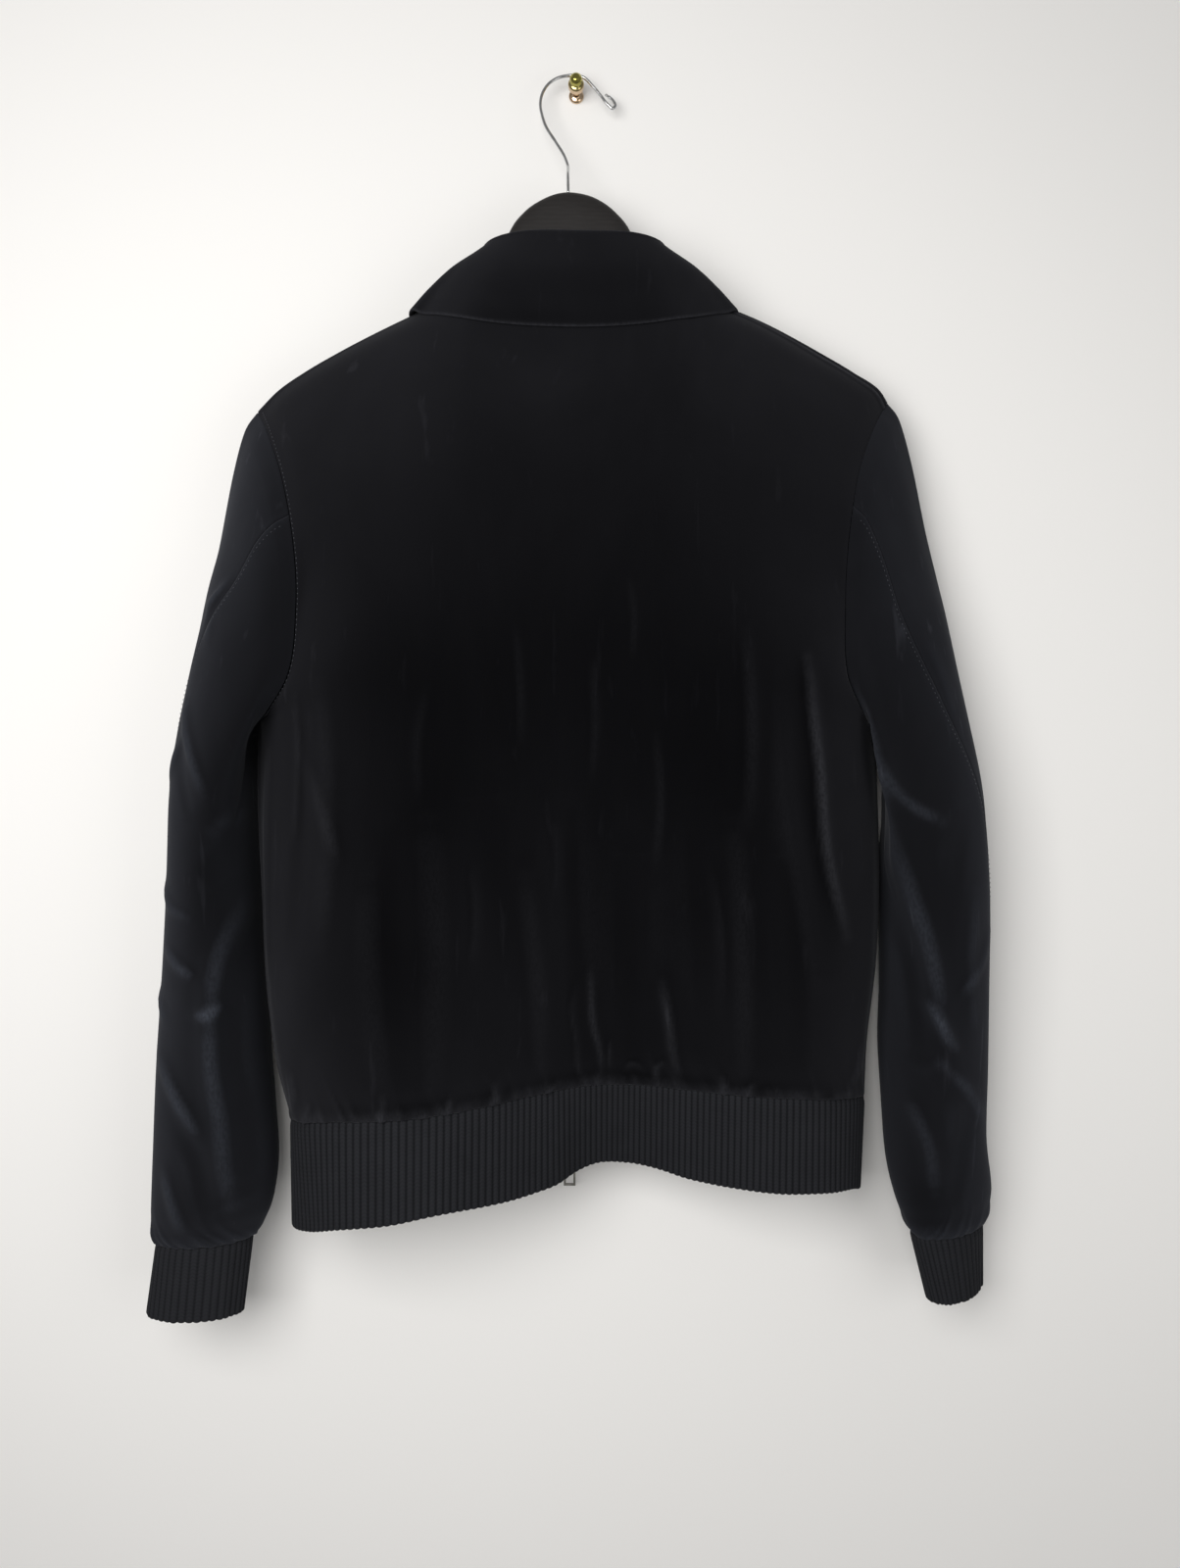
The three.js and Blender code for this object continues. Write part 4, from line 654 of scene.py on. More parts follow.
# ---- meshes
def finish_mesh(name, points, faces, material, uv=None, flat=False, crest=None):
    """Object at the origin from points in table millimetres and quads or triangles."""
    data = bpy.data.meshes.new(name)
    data.from_pydata((np.asarray(points, float) * MM).tolist(), [], np.asarray(faces).tolist())
    if uv is not None:
        layer = data.uv_layers.new(name="cloth")
        index = np.empty(len(data.loops), np.int32)
        data.loops.foreach_get("vertex_index", index)
        layer.data.foreach_set("uv", np.asarray(uv, np.float32)[index].ravel())
    if crest is not None:
        data.attributes.new("crest", "FLOAT", "POINT").data.foreach_set(
            "value", np.asarray(crest, np.float32))
    data.polygons.foreach_set("use_smooth", np.full(len(data.polygons), not flat))
    data.materials.append(material)
    data.update()
    data.validate()
    piece = bpy.data.objects.new(name, data)
    bpy.context.scene.collection.objects.link(piece)
    return piece


def grid_faces(columns, rows, start=0, closed=False):
    """Quads of a grid whose points run up each column."""
    i = np.arange(columns if closed else columns - 1)
    j = np.arange(rows - 1)
    i, j = np.meshgrid(i, j, indexing="ij")
    nxt = (i + 1) % columns
    return start + np.stack([i * rows + j, nxt * rows + j, nxt * rows + j + 1, i * rows + j + 1],
                            -1).reshape(-1, 4)


def outward(points, faces):
    """Faces turned over where the body's volume would come out below zero."""
    p = points[faces]
    centre = points.mean(0)
    a, b, c = (p[:, k] - centre for k in (0, 1, 2))
    volume = np.einsum("ij,ij->", a, np.cross(b, c))
    if faces.shape[1] == 4:
        volume += np.einsum("ij,ij->", a, np.cross(c, p[:, 3] - centre))
    return faces if volume > 0 else faces[:, ::-1]


def shell(name, outer, inner, material, closed=False, uv=None, crest=None):
    """Wall between two grids, closed along its open edges."""
    columns, rows = outer.shape[:2]
    count = columns * rows
    points = np.concatenate([outer.reshape(-1, 3), inner.reshape(-1, 3)])
    front = grid_faces(columns, rows, closed=closed)
    back = grid_faces(columns, rows, count, closed)[:, ::-1]
    i = np.arange(columns if closed else columns - 1)
    nxt = (i + 1) % columns
    low = np.stack([nxt * rows, i * rows, i * rows + count, nxt * rows + count], -1)
    high = np.stack([i * rows, nxt * rows, nxt * rows + count, i * rows + count], -1) + rows - 1
    parts = [front, back, low, high]
    if not closed:
        j = np.arange(rows - 1)
        parts.append(np.stack([j, j + 1, j + 1 + count, j + count], -1))
        far = (columns - 1) * rows
        parts.append(np.stack([far + j + 1, far + j, far + j + count, far + j + 1 + count], -1))
    faces = outward(points, np.concatenate(parts))
    both = None if uv is None else np.concatenate([uv.reshape(-1, 2)] * 2)
    crest = None if crest is None else np.concatenate([crest.ravel(), 0 * crest.ravel()])
    return finish_mesh(name, points, faces, material, both, crest=crest)


def tube(name, path, radius, sides, material, start=(0, 1, 0)):
    """Round wire along a path, its sections carried on without turning about it, ends capped."""
    path = np.asarray(path, float)
    along = unit(np.gradient(path, axis=0))
    side = np.array(start, float)
    sections = []
    angle = np.linspace(0, 2 * np.pi, sides, endpoint=False)
    radii = np.broadcast_to(radius, len(path))
    for centre, way, r in zip(path, along, radii):
        side = unit(side - way * (side @ way))
        other = np.cross(way, side)
        sections.append(centre + r * (np.cos(angle)[:, None] * side + np.sin(angle)[:, None] * other))
    return capped(name, np.array(sections), material)


def capped(name, rings, material, flat=False):
    """Skin over rings of points with both ends closed by fans."""
    count = rings.shape[1]
    points = np.concatenate([rings.reshape(-1, 3), [rings[0].mean(0)], [rings[-1].mean(0)]])
    k, i = np.meshgrid(np.arange(len(rings) - 1), np.arange(count), indexing="ij")
    nxt = (i + 1) % count
    quads = np.stack([k * count + i, k * count + nxt, (k + 1) * count + nxt, (k + 1) * count + i],
                     -1).reshape(-1, 4)
    i = np.arange(count)
    nxt = (i + 1) % count
    last = (len(rings) - 1) * count
    top = len(points) - 2
    ends = np.concatenate([np.stack([nxt, i, np.full(count, top)], -1),
                           np.stack([last + i, last + nxt, np.full(count, top + 1)], -1)])
    triangles = np.concatenate([quads[:, [0, 1, 2]], quads[:, [0, 2, 3]], ends])
    return finish_mesh(name, points, outward(points, triangles), material, flat=flat)


# ---- materials
class Material:
    """Node material whose shader sockets are set directly and whose patterns are added by name."""

    def __init__(self, name, colour, roughness, **sockets):
        self.made = bpy.data.materials.new(name)
        self.made.use_nodes = True
        self.nodes = self.made.node_tree.nodes
        self.links = self.made.node_tree.links
        self.shader = self.nodes["Principled BSDF"]
        self.shader.inputs["Base Color"].default_value = (*colour, 1)
        self.shader.inputs["Roughness"].default_value = roughness
        for key, value in sockets.items():
            self.shader.inputs[key.replace("_", " ")].default_value = value
        self.place = self.nodes.new("ShaderNodeTexCoord")

    def node(self, kind, inputs=(), **settings):
        made = self.nodes.new("ShaderNode" + kind)
        for key, value in settings.items():
            setattr(made, key, value)
        for key, value in dict(inputs).items():
            if isinstance(value, bpy.types.NodeSocket):
                self.links.new(value, made.inputs[key])
            else:
                made.inputs[key].default_value = value
        return made

    def object_space(self, scale=(1, 1, 1), turn=(0, 0, 0)):
        return self.node("Mapping", {"Vector": self.place.outputs["Object"], "Scale": scale,
                                     "Rotation": turn}).outputs["Vector"]

    def noise(self, scale, detail=3, rough=0.55, stretch=(1, 1, 1), vector=None, distort=0.0):
        space = vector if vector is not None else self.object_space(stretch)
        return self.node("TexNoise", {"Vector": space, "Scale": scale, "Detail": detail,
                                      "Roughness": rough, "Distortion": distort}).outputs["Fac"]

    def math(self, operation, a, b=0.5, clamp=False):
        return self.node("Math", {0: a, 1: b}, operation=operation, use_clamp=clamp).outputs[0]

    def ramp(self, factor, *stops):
        made = self.node("ValToRGB", {"Fac": factor})
        bar = made.color_ramp
        while len(bar.elements) < len(stops):
            bar.elements.new(0.5)
        for element, (at, colour) in zip(bar.elements, stops):
            element.position = at
            element.color = (*colour, 1) if len(colour) == 3 else colour
        return made.outputs["Color"]

    def grey(self, factor, low, high, start=0.3, end=0.7):
        return self.node("MapRange", {"Value": factor, "From Min": start, "From Max": end,
                                      "To Min": low, "To Max": high}).outputs["Result"]

    def colour(self, socket):
        self.links.new(socket, self.shader.inputs["Base Color"])

    def roughness(self, socket):
        self.links.new(socket, self.shader.inputs["Roughness"])

    def bumps(self, *layers):
        """Bump layers (height, strength, distance in metres), one over the other."""
        normal = None
        for height, strength, distance in layers:
            made = self.node("Bump", {"Height": height, "Strength": strength, "Distance": distance})
            if normal is not None:
                self.links.new(normal, made.inputs["Normal"])
            normal = made.outputs["Normal"]
        self.shaded = normal
        self.links.new(normal, self.shader.inputs["Normal"])


def velvet_material(name, dark, light, power, crest_highlight, marks):
    """Cut pile: near-black looking straight into it, paler as it slants away from the view (a painted
    sheen: the base colour goes by the slant to a power) and paler along ridge crests (a painted
    highlight from the crest attribute), with faint patches, a few short streaks where it leans the
    other way, and fine grain."""
    m = Material(name, dark, 0.95, Specular_IOR_Level=0.02, Sheen_Weight=0.05,
                 Sheen_Roughness=0.30)
    m.shader.inputs["Sheen Tint"].default_value = (0.90, 0.93, 1.0, 1)
    patch = m.noise(7, 4, 0.6, (1, 1, 0.6), distort=0.5)
    streak = m.noise(85, 3, 0.6, (1, 1, 0.14), distort=0.3)
    pile = m.noise(1500, 2, 0.7)
    m.bumps((patch, 0.15, 0.001), (streak, 0.15, 0.0004), (pile, 0.25, 0.0003))
    # Painted sheen: the base colour runs from the dark to the light tone as the surface slants away from the view.
    slant = m.node("LayerWeight", {"Blend": 0.5, "Normal": m.shaded}).outputs["Facing"]
    slant = m.math("POWER", slant, power)
    shade = m.node("Mix", {0: slant, 6: (*dark, 1), 7: (*light, 1)}, data_type="RGBA").outputs[2]
    # Painted highlight: the crest attribute, broken up by fine noise, mixes in the pale crest highlight colour.
    crest = m.node("Attribute", attribute_name="crest").outputs["Fac"]
    crest = m.math("MULTIPLY", crest, m.grey(m.noise(600, 2, 0.6, (1, 1, 0.5)), 0.55, 1.0, 0.35, 0.6))
    shade = m.node("Mix", {0: crest, 6: shade, 7: (*crest_highlight, 1)}, data_type="RGBA").outputs[2]
    lean = m.math("MULTIPLY", m.grey(patch, 0.86, 1.14, 0.34, 0.66),
                  m.grey(streak, 1.0, 1.0 + marks, 0.64, 0.76))
    m.colour(m.node("VectorMath", {0: shade, "Scale": lean}, operation="SCALE").outputs["Vector"])
    m.roughness(m.grey(streak, 0.88, 0.98))
    return m.made


def knit_material(name, hollow, gain):
    """Rib knit: stitch chains run along the ribs, with painted shade between the ribs and between the loops, and
    loose fibres.
    """
    m = Material(name, (0.014, 0.0145, 0.017), 0.95, Specular_IOR_Level=0.04,
                 Sheen_Weight=0.03, Sheen_Roughness=0.4)
    m.shader.inputs["Sheen Tint"].default_value = (0.9, 0.93, 1.0, 1)
    uv = m.node("UVMap", uv_map="cloth").outputs["UV"]
    split = m.node("SeparateXYZ", {"Vector": uv})
    across, up = split.outputs["X"], split.outputs["Y"]
    off = m.math("ABSOLUTE", m.math("SUBTRACT", m.math("FRACT", across), 0.5))
    ridge = m.math("SUBTRACT", 1.0, m.math("MULTIPLY", off, 2.0))
    chain = m.math("FRACT", m.math("ADD", up, m.math("MULTIPLY", off, 1.3)))
    loop = m.math("SINE", m.math("MULTIPLY", chain, 3.14159))
    fibre = m.noise(900, 3, 0.7)
    wool = m.noise(60, 3, 0.6)
    # Painted shade: the tone drops in the hollows between ribs and where the stitch loops meet.
    valley = m.grey(ridge, hollow, 1.0, 0.0, 0.5)
    tone = m.math("MULTIPLY", valley, m.grey(loop, 0.86, 1.0, 0.0, 0.8))
    tone = m.math("MULTIPLY", tone, m.grey(wool, 0.93 * gain, 1.06 * gain))
    m.colour(m.ramp(tone, (0.0, (0.0045, 0.0047, 0.0056)), (0.6, (0.0105, 0.011, 0.0128)),
                    (1.0, (0.0188, 0.0195, 0.0226))))
    m.roughness(m.grey(fibre, 0.9, 1.0))
    m.bumps((loop, 0.35, 0.0005), (fibre, 0.35, 0.0003))
    return m.made


def tape_material():
    """Woven zip tape: fine twill lines with a soft unevenness."""
    m = Material("zip tape twill", (0.012, 0.012, 0.014), 0.85, Specular_IOR_Level=0.25)
    twill = m.node("TexWave", {"Vector": m.object_space((1, 1, 1), (0, 0.8, 0)), "Scale": 420,
                               "Distortion": 0.6, "Detail": 1}, bands_direction="X").outputs["Fac"]
    m.colour(m.ramp(twill, (0.2, (0.006, 0.006, 0.007)), (0.8, (0.02, 0.02, 0.023))))
    m.roughness(m.grey(m.noise(200), 0.75, 0.95))
    m.bumps((twill, 0.4, 0.0003), (m.noise(1200), 0.3, 0.0002))
    return m.made


def thread_material():
    """Sewing thread: twisted strands with a faint lustre; its base colour is kept paler than the black thread, a
    painted glint.
    """
    m = Material("sewing thread", (0.05, 0.052, 0.06), 0.5, Specular_IOR_Level=0.3,
                 Sheen_Weight=0.03)
    twist = m.node("TexWave", {"Vector": m.object_space((1, 1, 1), (0.5, 0.6, 0.2)), "Scale": 900,
                               "Distortion": 0.4}).outputs["Fac"]
    m.colour(m.ramp(twist, (0.1, (0.034, 0.036, 0.044)), (0.9, (0.085, 0.09, 0.105))))
    m.bumps((twist, 0.5, 0.0002))
    return m.made


def metal_material(name, dark, light, low, high, scratch=1.0):
    """Handled metal: uneven gloss, hair scratches along the piece and dull specks."""
    m = Material(name, light, low, Metallic=1.0)
    smear = m.noise(160, 4, 0.6)
    hair = m.noise(700, 2, 0.5, (1, 1, 0.08))
    speck = m.noise(2600, 2, 0.6)
    m.colour(m.ramp(smear, (0.3, dark), (0.65, light)))
    m.roughness(m.grey(m.math("ADD", m.math("MULTIPLY", smear, 0.6), m.math("MULTIPLY", hair, 0.4)),
                       low, high))
    m.bumps((hair, 0.12 * scratch, 0.0002), (speck, 0.06 * scratch, 0.0001))
    return m.made


def brass_material():
    """Lacquered brass: olive gold in front, going rosy toward the wall."""
    m = Material("peg brass", (0.6, 0.5, 0.16), 0.14, Metallic=1.0)
    depth = m.node("SeparateXYZ", {"Vector": m.place.outputs["Object"]}).outputs["Y"]
    smear = m.noise(160, 4, 0.6)
    olive = m.ramp(smear, (0.3, (0.20, 0.18, 0.035)), (0.7, (0.52, 0.47, 0.14)))
    rosy = m.ramp(smear, (0.3, (0.52, 0.36, 0.20)), (0.7, (0.74, 0.57, 0.42)))
    m.colour(m.node("Mix", {0: m.grey(depth, 0.0, 1.0, *ROSY_FROM_TO), 6: olive, 7: rosy},
                    data_type="RGBA").outputs[2])
    m.roughness(m.grey(smear, 0.05, 0.13))
    m.bumps((m.noise(700, 2), 0.05, 0.0001))
    return m.made


def wood_material():
    """Dark stained hardwood: faint drawn-out grain, pores along it, a worn satin varnish and a
    few pale specks."""
    m = Material("dark stained hanger wood", (0.02, 0.017, 0.016), 0.5, Specular_IOR_Level=0.3,
                 Coat_Weight=0.12, Coat_Roughness=0.4)
    grain = m.node("TexWave", {"Vector": m.object_space((1, 3, 3)), "Scale": 30, "Distortion": 6,
                               "Detail": 4, "Detail Scale": 1.6}, bands_direction="Z").outputs["Fac"]
    pores = m.noise(520, 3, 0.7, (0.12, 1, 1))
    worn = m.noise(30, 3)
    tone = m.math("ADD", m.math("MULTIPLY", grain, 0.18), m.math("MULTIPLY", pores, 0.78))
    m.colour(m.ramp(tone, (0.2, (0.0100, 0.0086, 0.0083)), (0.6, (0.0144, 0.0127, 0.0124)),
                    (0.85, (0.0205, 0.0180, 0.0175))))
    m.roughness(m.grey(worn, 0.42, 0.6))
    m.bumps((grain, 0.04, 0.0003), (pores, 0.15, 0.0002))
    return m.made


def wall_material():
    """Painted plaster wall, seen from the room only: from behind it lets the view through."""
    m = Material("painted wall", (0.86, 0.855, 0.845), 0.9, Specular_IOR_Level=0.2)
    m.bumps((m.noise(35, 4), 0.08, 0.002), (m.noise(320, 3), 0.06, 0.0008))
    clear = m.node("BsdfTransparent")
    side = m.node("NewGeometry")
    blend = m.node("MixShader", {0: side.outputs["Backfacing"], 1: m.shader.outputs["BSDF"],
                                 2: clear.outputs["BSDF"]})
    m.links.new(blend.outputs["Shader"], m.nodes["Material Output"].inputs["Surface"])
    return m.made


# Each velvet: dark and light ends of its painted sheen, the sheen's power, its painted crest highlight colour and
# how strong its streaks are; the sleeves' copy is paler with a higher sheen power.
velvet = velvet_material("black velvet", (0.0024, 0.0024, 0.0029), (0.0205, 0.0208, 0.0245),
                         0.68, (0.042, 0.043, 0.050), 0.5)
sleeve_velvet = velvet_material("black velvet, sleeves", (0.0066, 0.0068, 0.0082),
                                (0.0345, 0.0365, 0.0445), 1.15, (0.044, 0.049, 0.062), 0.8)
knit = knit_material("rib knit wool", 0.36, 1.0)
cuff_knit = knit_material("rib knit wool, cuffs", 0.62, 1.02)
tape = tape_material()
thread = thread_material()
steel = metal_material("zip steel", (0.42, 0.41, 0.38), (0.62, 0.61, 0.58), 0.22, 0.42)
pull_steel = metal_material("pull steel, darkened", (0.13, 0.13, 0.115), (0.27, 0.265, 0.24), 0.3, 0.5)
chrome = metal_material("hook chrome", (0.46, 0.46, 0.46), (0.66, 0.67, 0.68), 0.08, 0.2, 0.5)
brass = brass_material()
wood = wood_material()


# ---- cloth pieces
def even(count, *fine):
    """Shares from 0 to 1, closer together near the given shares."""
    t = np.linspace(0, 1, 4000)
    weight = np.ones_like(t)
    for at, times, width in fine:
        weight += times * np.exp(-(((t - at) / width) ** 2))
    total = np.cumsum(weight)
    total = (total - total[0]) / (total[-1] - total[0])
    return np.interp(np.linspace(0, 1, count), total, t)


def cut_size(p):
    """Flat width, length and area of a grid, from its middle lines and its cells, in metres."""
    wide = run(p, 0)[-1].max() * MM
    high = run(p, 1)[:, -1].max() * MM
    a, b = np.diff(p, axis=0)[:, :-1], np.diff(p, axis=1)[:-1]
    area = np.linalg.norm(np.cross(a, b), axis=-1).sum() * MM * MM
    return (wide, high), min(area, 0.999 * wide * high)


def lower(p):
    """Table points brought to the frame's height."""
    return p - np.array([0, 0, TABLE_RISE])


def dress(piece, node):
    """Rides and replaces its node."""
    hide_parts(node)
    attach(piece, "garment")
    return piece


def settled(p, rounds, hold):
    """Grid with its depth evened out: in each round a point's y moves to the mean of its four
    neighbours, times a hold that is 0 along the seams and 1 inside."""
    y = p[..., 1].copy()
    for _ in range(rounds):
        mean = (y[:-2, 1:-1] + y[2:, 1:-1] + y[1:-1, :-2] + y[1:-1, 2:]) / 4
        y[1:-1, 1:-1] += (mean - y[1:-1, 1:-1]) * hold[1:-1, 1:-1]
    return np.stack([p[..., 0], y, p[..., 2]], -1)


def body_panel(node, surface, toward, counts, folds_table, facing, seed, seam_far):
    """A body panel: its surface evened out between the seams, a slight bulge over the hem seam,
    gathers, shallow seams, a ridge along the shoulder seam's turnings, and creases."""
    u = even(counts[0], (0.0, 2.5, 0.02), (1.0, 2.5 if seam_far else 1.0, 0.02))
    v = even(counts[1], (0.0, 4.0, 0.03), (1.0, 2.0, 0.03))
    u, v = np.meshgrid(u, v, indexing="ij")
    p = surface(u, v)
    size, area = cut_size(p)
    along, up = run(p, 0), run(p, 1)
    top = up[:, -1:] - up
    far = along[-1:, :] - along
    inside = np.minimum(np.minimum(along, far), np.minimum(up, top))
    p = settled(p, 70, smooth((inside - 4) / 30))
    n = grid_normals(p, toward)
    rise = folds(p, n, folds_table, facing)
    rise += 0.9 * drift(p, 60, seed) * smooth(up / 40) * smooth(top / 60)
    rise += 0.35 * drift(p, 26, seed + 1) * smooth(up / 20) * smooth(top / 60)
    rise += gathers(along, up, float(along[-1, 0]), seed + 2, 1.1, 12, (5, 17))
    rise += 1.0 * np.exp(-(((up - 4.5) / 4.5) ** 2))
    rise *= smooth(top / 12) * smooth(along / 14) * (smooth(far / 14) if seam_far else 1)
    rise += dip(up, 0.5, 1.1) + dip(top, 0.5, 1.2) + dip(along, 0.35, 1.2)
    right = smooth((p[..., 0] - 80) / 40)
    rise -= (dip(top - 3.4, 0.55, 1.5) + dip(top - 11, 1.2, 2.2) * right) * smooth(along / 8)
    if seam_far:
        rise += dip(far, 0.1, 1.2)
    # Painted highlights in the crest attribute: paler colour on narrow ridge crests, in a band just above the hem
    # seam and in a line along the right shoulder seam.
    crest = 0.45 * crests(rise) + 0.2 * np.exp(-((up / 6) ** 2)) * (
        0.7 + 1.2 * drift(p * [1, 0, 0], 4, seed + 4))
    crest += 0.9 * right * np.exp(-(((top - 11) / 1.5) ** 2))
    moved = p + n * rise[..., None]
    moved[..., 2] -= 1.3 * np.exp(-(((up - 2.5) / 2.5) ** 2)) * smooth(up / 1.5) * (
        0.75 + 0.7 * drift(p * [1, 0, 0], 5, seed + 3))
    inner = moved - grid_normals(moved, toward) * VELVET
    piece = shell(node + "_velvet", lower(moved), lower(inner), velvet, crest=np.clip(crest, 0, 1))
    return dress(piece, node), moved


back_piece, back_points = body_panel(
    "back", back_surface, np.array([0, -1, 0]), (250, 200), BACK_FOLDS, -1, 11, True)
front_left_piece, _ = body_panel(
    "front_left", front_left_surface, np.array([0, 1, 0]), (110, 170), FRONT_FOLDS, 1, 31, False)
front_right_piece, _ = body_panel(
    "front_right", front_right_surface, np.array([0, 1, 0]), (110, 170), FRONT_FOLDS, 1, 51, False)


def sleeve_panel(node, surface, start, end, columns, table, seed, side):
    """One panel of a sleeve between two of its seams."""
    angle = start + (end - start) * even(columns, (0.0, 2.0, 0.03), (1.0, 2.0, 0.03))
    s = even(250, (1.0, 4.0, 0.03), (0.0, 1.5, 0.03))
    angle, s = np.meshgrid(angle, s, indexing="ij")
    p = surface(angle, s)
    size, area = cut_size(p)
    # the sleeve's own middle line gives the outward side
    ring = surface(*np.meshgrid(np.linspace(0, 345, 24), s[0], indexing="ij"))
    n = grid_normals(p, p - ring.mean(0)[None])
    along, down = run(p, 0), run(p, 1)
    up = down[:, -1:] - down
    far = along[-1:, :] - along
    rise = folds(p, n, table, -1) + folds(p, n, SLEEVE_WALL_FOLDS, 1)
    rise += 1.0 * drift(p, 45, seed) * smooth(up / 40) * smooth(down / 120)
    rise += 0.4 * drift(p, 20, seed + 1) * smooth(up / 30) * smooth(down / 120)
    rise += gathers(along, up, float(along[:, -1].max()), seed + 2, 1.3, 16, (4, 13))
    rise += 1.9 * np.exp(-(((up - 7) / 7) ** 2))
    rise *= smooth(down / 40) * smooth(along / 9) * smooth(far / 9)
    rise += dip(up, 0.9, 1.5) + dip(down, 0.3 if side < 0 else 0.05, 1.2) + dip(along, 0.3, 1.2) + dip(far, 0.3, 1.2)
    # Painted highlights in the crest attribute: paler colour on narrow ridge crests and in a band just above the
    # cuff.
    crest = np.clip(0.75 * crests(rise) + 0.2 * np.exp(-((up / 8) ** 2)), 0, 1)
    moved = p + n * rise[..., None]
    inner = moved - grid_normals(moved, p - ring.mean(0)[None]) * VELVET
    piece = shell(node + "_velvet", lower(moved), lower(inner), sleeve_velvet, crest=crest)
    return dress(piece, node)


SLEEVES = [
    ("sleeve_left_upper", left_sleeve, -UPPER_HALF, UPPER_HALF, 90, SLEEVE_LEFT_FOLDS, 71, -1),
    ("sleeve_left_under", left_sleeve, UPPER_HALF, 360 - UPPER_HALF, 130, SLEEVE_LEFT_FOLDS, 81, -1),
    ("sleeve_right_upper", right_sleeve, -UPPER_HALF, UPPER_HALF, 90, SLEEVE_RIGHT_FOLDS, 91, 1),
    ("sleeve_right_under", right_sleeve, UPPER_HALF, 360 - UPPER_HALF, 130, SLEEVE_RIGHT_FOLDS, 95, 1),
]
for row in SLEEVES:
    sleeve_panel(*row)


# ---- ribbed knit
def rib_profile(phase):
    """Height of the ribs, 0 to 1: rounded columns with narrow hollows between, one to a turn of
    the phase."""
    return np.abs(np.sin(np.pi * phase)) ** 0.7


def knit_shell(node, top, foot, way_top, way_foot, shares, phase, closed, seed, material):
    """Ribbed band from a foot line up to its seam. The ribs stand on the outside and the inside,
    the foot turns over in a round fold, and the band waists a little under the seam."""
    v = even(27, (0.0, 3.0, 0.05), (1.0, 3.0, 0.05))
    line = foot[:, None] + (top - foot)[:, None] * v[None, :, None]
    line[..., 2] -= FOOT_SCALLOP * (rib_profile(phase)[:, None] - 0.5) * np.clip(1 - v / 0.06, 0, 1)
    way = unit(mix(way_foot[:, None], way_top[:, None], v[None, :, None]))
    height = np.linalg.norm(top - foot, axis=-1).mean()
    rib = rib_profile(phase)[:, None]
    rng = np.random.default_rng(seed)
    waves = sum(rng.uniform(0.3, 0.7) * np.sin(2 * np.pi * k * shares + rng.uniform(0, 6.28))
                for k in (7, 11, 17, 23))[:, None]
    ease = smooth(v / 0.04)[None] * smooth((1 - v) / 0.05)[None]
    out = (0.75 * rib - 0.45) * (0.35 + 0.65 * ease) + 0.4 * waves * (1 - v)[None]
    fold = np.clip(1 - v * height / 1.6, 0, 1)[None]
    out = out - 1.1 * (1 - np.sqrt(1 - fold ** 2)) - 0.6 * dip(1 - v[None], -1, 0.05)
    outer = line + way * out[..., None]
    inner_out = np.minimum(out, 0.1) - KNIT - 0.35 * rib + 1.5 * (1 - np.sqrt(1 - fold ** 2))
    inner = line + way * inner_out[..., None]
    uv = np.stack([np.broadcast_to(phase[:, None], out.shape),
                   np.broadcast_to(v[None] * height / 2.6, out.shape)], -1)
    size = (run(outer[:, :1], 0)[-1, 0] * MM if not closed else
            np.linalg.norm(np.diff(np.concatenate([line[:, 0], line[:1, 0]]), axis=0), axis=-1).sum() * MM,
            height * MM)
    piece = shell(node + "_knit", lower(outer), lower(inner), material, closed, uv)
    return dress(piece, node)


def hem_band():
    """The hem band: top and foot lines read at the seam's own stations, ways out level."""
    seam = np.array(HEM_FRONT_LEFT[::-1] + HEM_BACK[1:] + HEM_FRONT_RIGHT[1:], float)
    stations = chords(seam)
    shares = np.linspace(0, 1, HEM_COLUMNS + 1)
    top = through(stations, seam, shares * stations[-1])
    foot = through(stations, BAND_FOOT, shares * stations[-1])

    def way(line):
        along = np.gradient(line, axis=0)
        return unit(np.stack([along[:, 1], -along[:, 0], 0 * along[:, 0]], -1))
    top[:, 2] -= SEAM_STEP
    side = np.sign((way(top) * (top - [0, -50, 0]) * [1, 1, 0]).sum())
    # ribs draw closer together where the band dips in behind the back's middle
    back_from, back_to = stations[[len(HEM_FRONT_LEFT) - 1, -len(HEM_FRONT_RIGHT)]] / stations[-1]
    pitch = np.where((shares > back_from) & (shares < back_to), np.interp(top[:, 0], *RIB_PITCH),
                     FRONT_PITCH)
    phase = np.concatenate([[0], np.cumsum(stations[-1] / len(shares) / pitch[1:])])
    phase *= round(phase[-1]) / phase[-1]
    return knit_shell("hem_rib", top, foot, way(top) * side, way(foot) * side, shares, phase,
                      False, 5, knit)


def cuff(node, oval, low, side, seed):
    """A cuff from the sleeve's last ring down to its own lower ring."""
    centre, wide_half, deep, turn = low
    shares = np.linspace(0, 1, CUFF_RIBS * 10, endpoint=False)
    angle = shares * 360
    ones = np.ones_like(angle)
    top, way_top = oval(ones, angle)
    middle = (oval(np.array(1.0), np.array(0.0))[0] + oval(np.array(1.0), np.array(180.0))[0]) / 2
    c, r = math.cos(math.radians(turn)), math.sin(math.radians(turn)) * side
    wide = np.array([side * wide_half * c, side * wide_half * r, 0])
    thick = np.array([deep * r, -deep * c, 0])
    cos, sin = np.cos(np.radians(angle))[:, None], np.sin(np.radians(angle))[:, None]
    foot = np.array(centre) + wide * cos + thick * sin
    way_foot = unit(unit(wide) * cos / wide_half + unit(thick) * sin / deep)
    top = top + unit(np.array(centre) - middle) * SEAM_STEP
    return knit_shell(node, top, foot, way_top, way_foot, shares, shares * CUFF_RIBS, True, seed,
                      cuff_knit)


